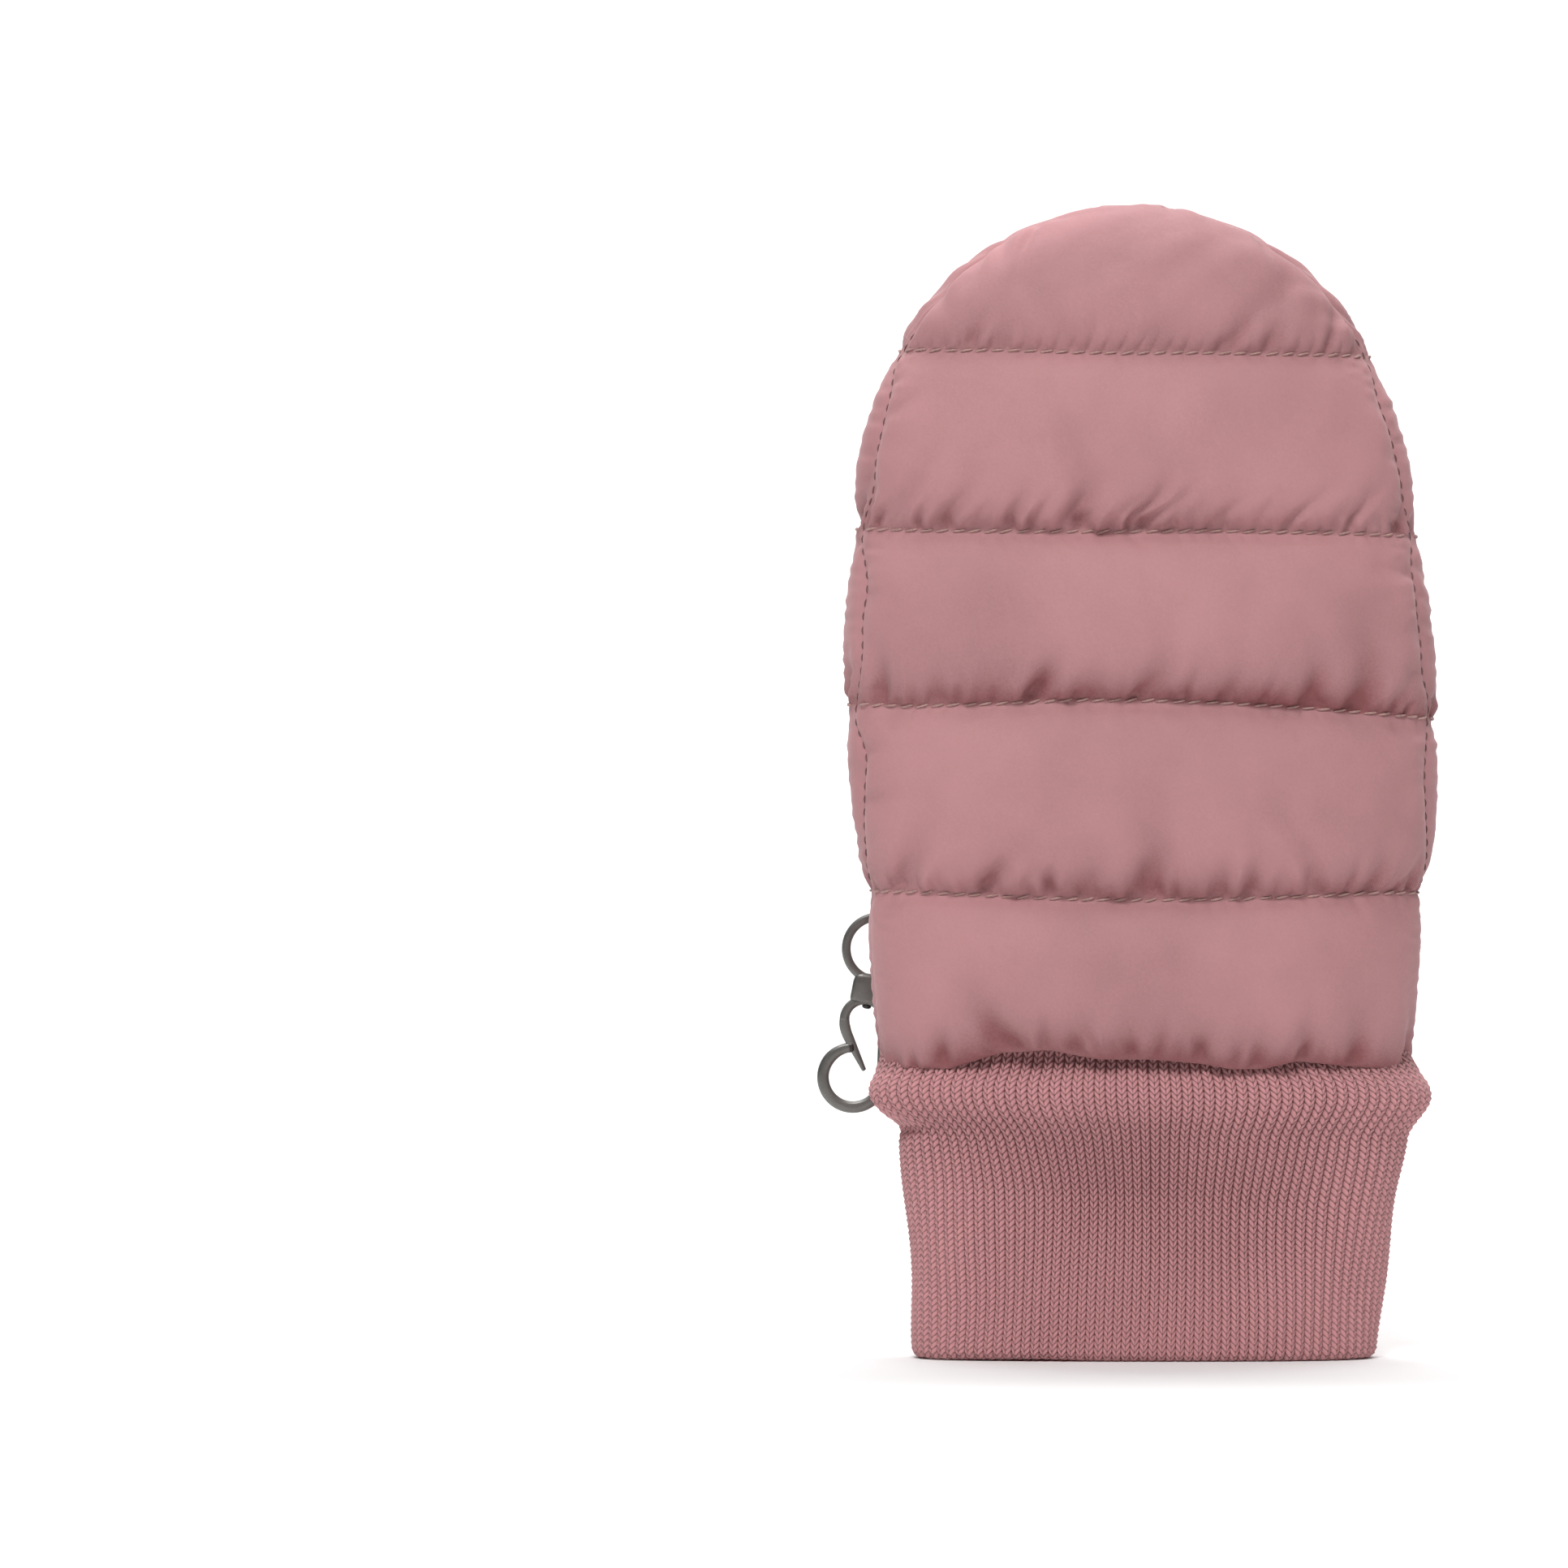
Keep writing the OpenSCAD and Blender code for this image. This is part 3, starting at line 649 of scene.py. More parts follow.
def stitches(name, lines, pitch, length, radius, slant, sink=0.1, on=None):
    """Rows of slanting stitches on lines of (points, outward normals), laid on the shown surface
    of the object on, if one is given."""
    surface = on and on.evaluated_get(bpy.context.evaluated_depsgraph_get())

    def laid(spine, n):
        if surface is None:
            return spine
        placed = []
        for q in spine:
            hit, at, _, _ = surface.ray_cast(Vector(q + 2.5 * n) * MM, Vector(-n), distance=0.005)
            placed.append(np.array(at) / MM if hit else q)
        return np.array(placed)

    rng = np.random.default_rng(3)
    stations = np.array([-1.0, -0.86, -0.45, 0.0, 0.45, 0.86, 1.0])
    thick = np.array([0.25, 0.75, 1.0, 1.0, 1.0, 0.75, 0.25])
    arch = 1 - stations ** 2
    turn = turns(6)
    points, faces = [], []
    for line, normals in lines:
        along = length_along(line)

        def on_line(at, values):
            return np.array([np.interp(at, along, values[:, i]) for i in range(3)])

        for middle in np.arange(pitch / 2, along[-1], pitch):
            at = middle + rng.normal() * pitch * 0.035
            tilt = slant + rng.normal() * 0.05
            start, end = on_line(at - length / 2, line), on_line(at + length / 2, line)
            t = unit(end - start)
            n = unit(on_line(at, normals))
            n = unit(n - t * (n @ t))
            up = np.cross(n, t)
            up = up * (1 if up[2] > 0 else -1)
            t = unit(t + up * tilt)
            up = unit(up - t * (up @ t))
            spine = laid((start + end) / 2 + stations[:, None] * t * length / 2, n)
            spine = spine + n * (radius * (1.1 * arch - sink))[:, None]
            ring = (np.cos(turn)[:, None] * up + np.sin(turn)[:, None] * n * 0.8)
            rings = spine[:, None, :] + ring[None] * (radius * thick)[:, None, None]
            faces += tube_faces(*rings.shape[:2], len(points))
            points += list(rings.reshape(-1, 3))
    return mesh_object(name, np.array(points), faces)


def tube_faces(rows, cols, start):
    """Faces over rings of points, with both ends closed."""
    ends = start + np.arange(cols), start + (rows - 1) * cols + np.arange(cols)
    return [*grid_faces(rows, cols, True, False, start), ends[0][::-1], ends[1]]


# ---- The rib cuff: wales of V-shaped stitches over the double band ----
ROLL_Z, ROLL_L, ROLL_W, ROLL_T = CUFF_L - 14, 9.0, 4.8, 1.6
WALES, COLUMNS_A_WALE, COURSE, ROWS_A_COURSE = 112, 6, 1.2, 5
# How many courses the two legs of a V rise from its middle to the wale's edge, per wale's width.
V_RISE = 1.9
# Height and depth of the rows at the cuff's top, where it turns in under the hem.
CUFF_TOP = np.array([(57.6, 0.15), (57.9, 0.3), (58.3, 0.5), (58.9, 0.75), (59.6, 1.0), (60.4, 1.2),
                     (61.2, 1.5), (62.0, 1.9), (62.6, 2.6), (62.9, 3.4)])


def roll(z):
    return ease((z - ROLL_Z) / ROLL_L) - 0.2 * ease((z - ROLL_Z - ROLL_L) / 5)


def cuff_point(z, a, d):
    c, s = cos_sin(a, ROUNDNESS)
    x = 0.8 * np.sin(np.pi * clamp(z / CUFF_L)) + (CUFF_W / 2 + 0.075 * z + ROLL_W * roll(z) - d) * c
    y = -1.5 * clamp((z - 20) / 37) + (CUFF_T / 2 + ROLL_T * roll(z) - d) * s
    return join(x, y, z)


def cuff_angles(count):
    """Section angles evenly spaced round the cuff's outline."""
    a = np.linspace(0, 360, 1441)
    along = length_along(cuff_point(np.full_like(a, 25.0), a, 0.0))
    return np.interp(np.arange(count) / count * along[-1], along, a)


def cuff_soft(z, a):
    """How far in the knit lies: slow waves, a wide hollow, a crease at the left, and its flare."""
    u = np.radians(a)
    waves = 0.55 * np.sin(3 * u + 0.09 * z + 0.7) * np.sin(0.11 * z + 1.3)
    waves += 0.35 * np.sin(7 * u - 0.13 * z) * clamp((z - 3) / 12)
    slant = z + 2.5 * np.cos(u)
    above, below = clamp((47.5 - slant) / 15.5), clamp((slant + 4) / 36)
    both = above * below / np.maximum(above ** 6 + below ** 6, 1e-9) ** (1 / 6)
    hollow = 4.8 * both * np.sin(u) ** 2
    crease = bell(a % 360, 192, 16) * (2.0 * bell(z, 45.6, 1.6) - 0.9 * bell(z, 53, 3.8))
    flare = 2.4 * bell(z, 43, 11.0) * np.clip(np.cos(u), 0, 1) ** 2
    return hollow + crease + waves * 0.8 - flare


def make_cuff():
    """The cuff's outer face and rolled foot, and its coords: wale, course and painted shade."""
    wall = WALL_T / 2
    arc = np.linspace(0, np.pi / 2, 9)[:-1]
    z_out = np.arange(2.0, 57.3, COURSE / ROWS_A_COURSE)
    z = np.concatenate([wall - wall * np.cos(arc), z_out, CUFF_TOP[:, 0]])
    d = np.concatenate([wall - wall * np.sin(arc), 0 * z_out, CUFF_TOP[:, 1]])
    columns = WALES * COLUMNS_A_WALE
    zz, aa = np.meshgrid(z, cuff_angles(columns), indexing="ij")
    dd, wale = np.meshgrid(d, (np.arange(columns) + 0.5) / COLUMNS_A_WALE, indexing="ij")
    drift = 0.16 * smooth_noise(zz, 4, 26.0) + 0.1 * np.sin(aa * 0.21)
    course = length_along(join(z, d))[:, None] / COURSE + drift
    off = np.abs(wale % 1.0 - 0.5)
    strand = np.cos(2 * np.pi * (course - V_RISE * off)) * bell(off, 0.24, 0.18)
    relief = 0.90 * (1 - (2 * off) ** 3.5) + 0.22 * strand - 0.20 * bell(off, 0, 0.085) - 0.78
    sag = 0.5 * smooth_noise(aa, 12, 60.0) * np.exp(-zz / 9.0)
    dive = 2.0 * ease((zz - 54.3) / 3.6) * (0.3 + 0.7 * np.sin(np.radians(aa)) ** 2)
    soft = cuff_soft(zz, aa) * clamp((60 - zz) / 6)
    grid = cuff_point(zz, aa, dd + dive + soft - relief)
    grid[..., 2] += np.maximum(sag, 0) * clamp(1 - zz / 30)
    # Shade painted into the knit's colour under the hem, in the hollow and just below the roll, and painted
    # light towards the foot.
    knit_shade = bell(zz, 58.8, 2.1) + 0.5 * np.clip(soft, 0, 4.5) / 4.5
    knit_shade += 0.30 * bell(zz, 44, 6.0) - 0.28 * bell(zz, 0, 24.0)
    return grid, join(wale, course, knit_shade)


def make_cuff_inside():
    wall = WALL_T / 2
    arc = np.linspace(0, np.pi / 2, 7)
    z = np.concatenate([wall - wall * np.cos(arc), np.arange(3.0, 57.5, COURSE)])
    d = np.concatenate([wall + wall * np.sin(arc), np.full(len(z) - len(arc), WALL_T)])
    zz, aa = np.meshgrid(z, cuff_angles(WALES * 2), indexing="ij")
    dd, column = np.meshgrid(d, np.arange(WALES * 2), indexing="ij")
    rib = np.where(column % 2 == 0, 0.35, -0.25) * clamp(zz / 1.5)
    grid = cuff_point(zz, aa, dd + rib + cuff_soft(zz, aa) * clamp(zz / 6))
    return grid, join(column / 2 + 0.5, zz / COURSE, 0.0)


# ---- The snap hook, in its own frame: hanging straight down from the eye's centre ----
EYE_AT = np.array([-52.5, 16.0, 80.2])
HOOK_LEAN = math.radians(11)
EYE_R, COLLAR_FOOT, BALL_R = 6.3, -11.1, 4.75
DOME_AT, BEND_AT, BEND_TURN_R = 14.44, 26.1, 5.95
GATE_ROOT_X, GATE_ROOT_Z = [-3.88, -3.75, -3.0, 1.8], [-14.7, -15.9, -17.6, -24.1]
# Height, half width and half thickness of the collar's outline, and radius and height of the pin's.
COLLAR = [(-5.2, 0.1, 0.1), (-5.2, 2.2, 0.9), (-5.45, 2.9, 1.25), (-6.1, 3.4, 1.45),
          (-7.2, 3.6, 1.5), (-10.4, 3.6, 1.5), (-10.95, 3.5, 1.42), (COLLAR_FOOT, 3.35, 1.3)]
PIN = [(0.05, -7.6), (0.55, -7.6), (0.55, -11.3), (0.9, -11.45), (0.95, -11.7), (0.85, -12.0),
       (0.5, -12.2), (0.03, -12.25)]


def on_clip(points):
    """From the clip's own frame to the mitten's."""
    p = np.asarray(points, float)
    x = p[..., 0] * math.cos(HOOK_LEAN) + p[..., 2] * math.sin(HOOK_LEAN)
    z = -p[..., 0] * math.sin(HOOK_LEAN) + p[..., 2] * math.cos(HOOK_LEAN)
    return join(x, p[..., 1], z) + EYE_AT


def bar(path, half_w_, half_t_, closed=False):
    """Rings of a rounded bar along a path in the clip's plane, with rounded ends."""
    half_w_ = np.broadcast_to(half_w_, len(path)).astype(float)
    half_t_ = np.broadcast_to(half_t_, len(path)).astype(float)
    if closed:
        tangent = unit(np.roll(path, -1, axis=0) - np.roll(path, 1, axis=0))
    else:
        tangent = unit(np.gradient(path, axis=0))
    side = join(-tangent[:, 1], tangent[:, 0])
    c, s = signed_pow(np.cos(turns(20)), 0.55), signed_pow(np.sin(turns(20)), 0.55)

    def ring(i, share=1.0, shift=0.0):
        w, t = half_w_[i] * share, half_t_[i] * (0.35 + 0.65 * share if share > 0.3 else share * 1.8)
        at = path[i] + tangent[i] * shift
        return join(at[0] + side[i, 0] * w * c, t * s, at[1] + side[i, 1] * w * c)

    rounds = [] if closed else [(math.sqrt(1 - e * e) + 0.02, e * 0.8) for e in (1.0, 0.8, 0.5, 0.2)]
    first = [ring(0, share, -half_w_[0] * out) for share, out in rounds]
    last = [ring(-1, share, half_w_[-1] * out) for share, out in rounds[::-1]]
    return np.array(first + [ring(i) for i in range(len(path))] + last), closed


def bars_object(name, *bars):
    points, faces = [], []
    for rings, closed in bars:
        rows, cols = rings.shape[:2]
        if closed:
            ids = grid_faces(rows + 1, cols, True) % (rows * cols) + len(points)
            faces += list(ids)
        else:
            faces += tube_faces(rows, cols, len(points))
        points += list(on_clip(rings).reshape(-1, 3))
    obj = mesh_object(name, points, faces)
    data = bmesh.new()
    data.from_mesh(obj.data)
    bmesh.ops.recalc_face_normals(data, faces=data.faces)
    data.to_mesh(obj.data)
    data.free()
    return obj


def arc_points(height, radius, start, end, count):
    """Points on a circle about the clip's middle line, height up from the eye's centre."""
    a = np.radians(np.linspace(start, end, count))
    return join(radius * np.cos(a), height + radius * np.sin(a))


def collar_rings():
    """The block under the eye, hollowed below by the ball that the hook's top turns in."""
    c, s = signed_pow(np.cos(turns(40)), 0.35), signed_pow(np.sin(turns(40)), 0.35)
    rings = [join(w * c, t * s, z) for z, w, t in COLLAR]
    for share in (0.94, 0.8, 0.6, 0.4, 0.2, 0.02):
        x, y = COLLAR[-1][1] * share * c, COLLAR[-1][2] * share * s
        z = -DOME_AT + np.sqrt(np.maximum(BALL_R ** 2 - x * x - y * y, 0.1))
        rings.append(join(x, y, np.maximum(z, COLLAR_FOOT)))
    return np.array(rings), False


def make_clip():
    eye = bars_object("clip_eye_ring", bar(arc_points(0, EYE_R, 0, 360, 73)[:-1], 0.92, 1.25, True),
                      collar_rings())
    turn = turns(24)
    pin_rings = np.array([join(r * np.cos(turn), r * np.sin(turn), z) for r, z in PIN])
    pin = bars_object("clip_pin", (pin_rings, False))
    dome = arc_points(-DOME_AT, 3.9, 186, 0, 22)
    spine = join(np.linspace(3.92, 5.7, 10), np.linspace(-15.6, -24.9, 10))
    path = np.concatenate([dome, spine, arc_points(-BEND_AT, BEND_TURN_R, 2, -250, 56)])
    wide = np.concatenate([np.linspace(1.0, 0.78, 22), np.linspace(0.8, 1.1, 10),
                           np.full(46, 1.2), np.linspace(1.2, 1.0, 10)])
    hook = bars_object("clip_hook_frame", bar(path, wide, 1.2))
    end = arc_points(-BEND_AT, BEND_TURN_R, -249, -256, 4)
    tip = bars_object("clip_hook_tip", bar(end, 1.02, 1.15))
    steps = np.linspace(0, 1, 16)
    way = join(*(np.interp(steps, [0, 0.12, 0.3, 1], at) for at in (GATE_ROOT_X, GATE_ROOT_Z)))
    way[1:-1] = (way[:-2] + 2 * way[1:-1] + way[2:]) / 4
    wide = np.interp(steps, [0, 0.2, 0.4, 1], [1.0, 1.12, 1.05, 0.48])
    gate = bars_object("clip_gate_finger", bar(way, wide, np.linspace(1.12, 0.85, 16)))
    return eye, pin, hook, tip, gate


# ---- The webbing loop ----
LOOP_W, LOOP_T, LOOP_R, LOOP_SHIFT = 4.2, 1.0, 1.45, 1.1
LOOP_Z = 85.75
ROOT_Y, ROOT_Z = 9.9, 92.7


def make_webbing():
    """The tape: from the seam behind the eye's ring, round it, and back over itself."""
    middle = LOOP_R + LOOP_T / 2
    path = [(ROOT_Y - 0.6, ROOT_Z + 0.3), (ROOT_Y + 0.35, ROOT_Z - 0.4), (12.0, 90.4)]
    path += [(EYE_AT[1] - middle, z) for z in np.linspace(88.0, LOOP_Z, 4)]
    path += [(EYE_AT[1] + middle * math.cos(a), LOOP_Z + middle * math.sin(a))
             for a in np.linspace(math.pi, 2 * math.pi, 15)[1:-1]]
    path += [(EYE_AT[1] + middle, z) for z in np.linspace(LOOP_Z, 88.6, 4)]
    path += [(15.2, 91.0), (12.6, 92.9), (ROOT_Y + 0.55, ROOT_Z + 0.45), (ROOT_Y - 0.6, ROOT_Z + 0.9)]
    path = np.array(path)
    along = length_along(path)
    even = np.linspace(0, along[-1], 90)
    path = join(*(np.interp(even, along, path[:, i]) for i in (0, 1)))
    for _ in range(4):
        path[1:-1] = (path[:-2] + 2 * path[1:-1] + path[2:]) / 4
    tangent = unit(np.gradient(path, axis=0))
    across = LOOP_W / 2 * signed_pow(np.cos(turns(32)), 0.3)
    out = LOOP_T / 2 * signed_pow(np.sin(turns(32)), 0.6)
    rib = 0.05 * np.cos(2 * np.pi * even / 0.9)[:, None] * np.abs(np.sin(turns(32)))
    reach = out * (1 + rib)
    grid = join(EYE_AT[0] + LOOP_SHIFT + across, path[:, :1] - tangent[:, 1:] * reach,
                path[:, 1:] + tangent[:, :1] * reach)
    return grid_object("webbing_loop", grid, join(across, even[:, None]), wrap=True, flip=True)


# ---- Materials ----
class Value:
    """A shader's number or vector; each sum with it adds a Math node."""

    def __init__(self, shader, socket):
        self.shader, self.socket = shader, socket

    def math(self, operation, other=0.0, before=False):
        made = self.shader.nodes.new("ShaderNodeMath")
        made.operation = operation
        for socket, value in zip(made.inputs, (other, self) if before else (self, other)):
            self.shader.feed(socket, value)
        return Value(self.shader, made.outputs[0])

    def __add__(self, other):
        return self.math("ADD", other)

    def __sub__(self, other):
        return self.math("SUBTRACT", other)

    def __rsub__(self, other):
        return self.math("SUBTRACT", other, before=True)

    def __mul__(self, other):
        return self.math("MULTIPLY", other)

    def __pow__(self, other):
        return self.math("POWER", other)

    def __abs__(self):
        return self.math("ABSOLUTE")


class Shader:
    """A material around one Principled shader, with its constants set on the shader itself."""

    def __init__(self, name, rough, sheen=0.0, sheen_rough=0.5, tint=(1, 1, 1), metallic=0.0,
                 specular=0.35, coat=0.0, coat_rough=0.3):
        self.material = bpy.data.materials.new(name)
        self.material.use_nodes = True
        self.nodes = self.material.node_tree.nodes
        self.inputs = self.nodes["Principled BSDF"].inputs
        self.relief = None
        constants = {"Roughness": rough, "Sheen Weight": sheen, "Sheen Roughness": sheen_rough,
                     "Sheen Tint": (*tint, 1), "Metallic": metallic, "Specular IOR Level": specular,
                     "Coat Weight": coat, "Coat Roughness": coat_rough}
        for socket, value in constants.items():
            self.inputs[socket].default_value = value

    def feed(self, socket, value):
        if isinstance(value, Value):
            self.material.node_tree.links.new(value.socket, socket)
        else:
            socket.default_value = value

    def node(self, kind, **inputs):
        made = self.nodes.new("ShaderNode" + kind)
        for key, value in inputs.items():
            self.feed(made.inputs[key], value)
        return made

    def cloth(self):
        """The surface's own coordinates, and them one by one."""
        made = self.node("Attribute")
        made.attribute_name = "cloth"
        whole = Value(self, made.outputs["Vector"])
        split = self.node("SeparateXYZ", Vector=whole)
        return whole, [Value(self, socket) for socket in split.outputs]

    def noise(self, scale, detail=2.0, rough=0.5):
        place = Value(self, self.node("TexCoord").outputs["Object"])
        made = self.node("TexNoise", Vector=place, Scale=scale, Detail=detail, Roughness=rough)
        return Value(self, made.outputs["Fac"])

    def wave(self, vector, pitch, direction="DIAGONAL", distortion=0.0):
        """Diagonal bands pitch apart along each axis of the vector, or X or Y bands half as far apart."""
        scale = 2 * math.pi / 10 / pitch
        made = self.node("TexWave", Vector=vector, Scale=scale, Distortion=distortion)
        made.bands_direction = direction
        return Value(self, made.outputs["Fac"])

    def color(self, factor, *stops):
        """The base colour, from a factor and the colours at its (place, colour) stops."""
        made = self.node("ValToRGB", Fac=factor)
        ramp = made.color_ramp
        while len(ramp.elements) < len(stops):
            ramp.elements.new(0.5)
        for element, (at, color) in zip(ramp.elements, stops):
            element.position = at
            element.color = (*color, 1)
        self.feed(self.inputs["Base Color"], Value(self, made.outputs["Color"]))

    def bump(self, height, distance):
        """Relief in metres, on top of the relief that is there already."""
        made = self.node("Bump", Height=height, Distance=distance, Strength=1.0)
        if self.relief:
            self.feed(made.inputs["Normal"], self.relief)
        self.relief = Value(self, made.outputs["Normal"])
        self.feed(self.inputs["Normal"], self.relief)


def tone(color, factor):
    return tuple(min(1.0, c * factor) for c in color)


# The darkest fabric pink is painted shade, reached in the creases.
PINK, CREASE_SHADE_PINK = (0.480, 0.232, 0.243), (0.250, 0.078, 0.082)
# The knit's gap colour is painted shade between the wales and in the Vs' holes.
KNIT_PINK, KNIT_GAP_SHADE = (0.495, 0.232, 0.240), (0.150, 0.042, 0.044)
THREAD_PINK, FLEECE_PINK = (0.440, 0.262, 0.235), (0.60, 0.40, 0.41)
GUNMETAL, PIN_METAL = (0.150, 0.147, 0.136), (0.03, 0.028, 0.027)
# In the unit of the coordinates that each is used on: metres for the fabric and millimetres for the
# tape, whose weave is so fine that it shows only as an even grain.
TWILL_PITCH, WEFT_PITCH, WARP_PITCH = 0.00048, 0.0009, 0.0007


def quilted_fabric():
    """Matte woven polyester: a fine twill with slow random variation of tone, and shade painted into
    its colour where cloth.Z says that the cloth lies in a crease."""
    s = Shader("quilted_fabric", 0.72, sheen=0.14, sheen_rough=0.45, tint=(1.0, 0.9, 0.9),
               specular=0.42)
    _, (x, y, crease) = s.cloth()
    flat = Value(s, s.node("CombineXYZ", X=x, Y=y).outputs["Vector"])
    weave = s.wave(flat, TWILL_PITCH) * 0.7 + s.wave(flat, TWILL_PITCH / 1.6, "Y", 0.6) * 0.3
    slow, fleck = s.noise(34.0, 3.0), s.noise(1900.0, 2.0, 0.7)
    # cloth.Z pulls the colour towards the darkest pink: painted shade in the creases.
    s.color(slow * 0.62 + fleck * 0.22 + weave * 0.08 - crease * 0.36,
            (0.0, CREASE_SHADE_PINK), (0.30, tone(PINK, 0.84)), (0.50, PINK), (0.70, tone(PINK, 1.12)))
    s.feed(s.inputs["Roughness"], slow * 0.16 + 0.62)
    s.bump(s.noise(210.0, 3.0), 0.00022)
    s.bump(s.noise(2600.0, 2.0, 0.7), 0.00003)
    s.bump(weave, 0.000012)
    return s.material


def rib_knit():
    """Knitted wool: cloth.X counts the wales and cloth.Y the courses, so each V is drawn to scale, with
    painted shade in its gaps and holes and painted light on its raised strands. Shade is painted where
    cloth.Z says that it lies under the hem or in the hollow, and light towards its foot."""
    s = Shader("rib_knit", 0.9, sheen=0.25, sheen_rough=0.6, tint=(1.0, 0.85, 0.86), specular=0.2)
    _, (wale, course, knit_shade) = s.cloth()
    off = abs(wale.math("FRACT") - 0.5)
    strand = abs(((course - off * V_RISE) * math.pi).math("COSINE")) ** 0.55
    edge = (off * 2.0) ** 5.0
    middle = (1.0 - (off * 8.0).math("MINIMUM", 1.0)) ** 1.5
    height = strand - edge * 0.95 - middle * 0.55
    slow, fuzz = s.noise(40.0, 2.0), s.noise(2400.0, 3.0, 0.7)
    # Strand height paints light on the strands and shade in the gaps; cloth.Z paints shade under the hem
    # and in the hollow, and light at the foot.
    s.color(slow * 0.14 + fuzz * 0.26 + height * 0.62 - knit_shade * 0.30,
            (0.12, KNIT_GAP_SHADE), (0.44, KNIT_PINK), (0.80, tone(KNIT_PINK, 1.42)))
    s.bump(fuzz, 0.00014)
    s.bump(height, 0.00022)
    return s.material


def thread(name, color, rough, sheen, specular, dark, light):
    s = Shader(name, rough, sheen=sheen, specular=specular)
    fine = s.noise(2600.0, 2.0)
    s.color(fine, (0.35, tone(color, dark)), (0.65, tone(color, light)))
    s.bump(fine, 0.00006)
    return s.material


def woven_tape():
    s = Shader("woven_tape", 0.75, sheen=0.2, sheen_rough=0.5, specular=0.3)
    cloth, _ = s.cloth()
    weave = s.wave(cloth, WEFT_PITCH, "Y", 0.4) * s.wave(cloth, WARP_PITCH, "X", 0.4)
    base = tone(PINK, 0.9)
    s.color(weave, (0.1, tone(base, 0.72)), (0.7, tone(base, 1.05)))
    s.bump(weave, 0.00012)
    return s.material


def fleece():
    s = Shader("fleece", 0.95, sheen=0.5, sheen_rough=0.7, specular=0.15)
    slow, pile = s.noise(90.0, 3.0), s.noise(900.0, 4.0, 0.75)
    s.color(slow * 0.4 + pile * 0.6, (0.3, tone(FLEECE_PINK, 0.8)), (0.65, tone(FLEECE_PINK, 1.1)))
    s.bump(pile, 0.0007)
    return s.material


def moulded(name, base, roughness):
    """Moulded plastic with a fine grain, slightly polished where it is handled."""
    s = Shader(name, roughness, specular=0.6, coat=0.25, coat_rough=0.25, metallic=0.5)
    slow, grain = s.noise(160.0, 3.0), s.noise(3000.0, 2.0, 0.6)
    s.color(slow * 0.7 + grain * 0.3, (0.3, tone(base, 0.8)), (0.5, base), (0.72, tone(base, 1.25)))
    s.feed(s.inputs["Roughness"], slow * 0.22 + (roughness - 0.11))
    s.bump(grain, 0.00003)
    return s.material


def studio_white():
    s = Shader("studio_white", 0.9, specular=0.1)
    s.color(s.noise(6.0, 1.0), (0.0, (0.85, 0.85, 0.85)), (1.0, (0.87, 0.87, 0.87)))
    return s.material


# ---- Putting the mitten together ----
# The side seams' stitches only show above this height; lower down they lie in the seam's fold.
SEAM_SHOWS_Z = 93.0
# How far up and in each row of the turned-in hem lies, from its hidden edge to its fold.
HEM_TURN = np.array([(9.0, 3.6), (5.0, 3.4), (2.2, 3.0), (0.8, 2.4), (0.1, 1.7), (-0.2, 1.1),
                     (-0.25, 0.55), (-0.15, 0.2)])
LINING_HOLE_R = 9.0


def put(obj, material, body, slot, *nodes):
    """Gives a piece its material and the body that it rides, and says what it replaces. Its slot is not
    used.
    """
    obj.data.materials.clear()
    obj.data.materials.append(material)
    if body:
        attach(obj, body)
    if nodes:
        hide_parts(*nodes)
    return obj


def panel(name, side, hand, out, ids, data, normals):
    """One quilted panel as its own mesh, with its folds and with its lower hem turned in."""
    share, t, amount = (finer(values) for values in data[side])
    n, g = unit(finer(normals[ids[side]])), finer(out[ids[side]])
    rows = [2 * row for row in hand.line_rows]
    lift = hand_folds(hand, side, clamp(share), t, clamp(amount), g, rows)
    if side == PALM:
        lift = lift * ease((gusset_share(g) - 1.1) / 0.35)
    g = g + n * lift[..., None]
    coords = join((share - 0.5) * hand.girth(side, t) * MM, t * MM, crease_shade(t, rows, lift))
    drop, sink = HEM_TURN[:, :1], HEM_TURN[:, 1:]
    hem = g[0] - unit(g[0] / (HAND_W ** 2, (2 * BACK_T) ** 2, np.inf)) * sink[..., None]
    hem[..., 2] = g[0, :, 2] + drop
    hem_coords = np.repeat(coords[:1], len(hem), 0)
    hem_coords[..., 1] -= (drop + sink) * MM
    # The turned-in hem takes the full painted crease shade.
    hem_coords[..., 2] = 1.0
    hole = (lambda p: (gusset_share(p) < 0.93) & (p[:, 1] > 5)) if side == PALM else None
    return grid_object(name, np.concatenate([hem, g]), np.concatenate([hem_coords, coords]),
                       flip=side == PALM, hole=hole)


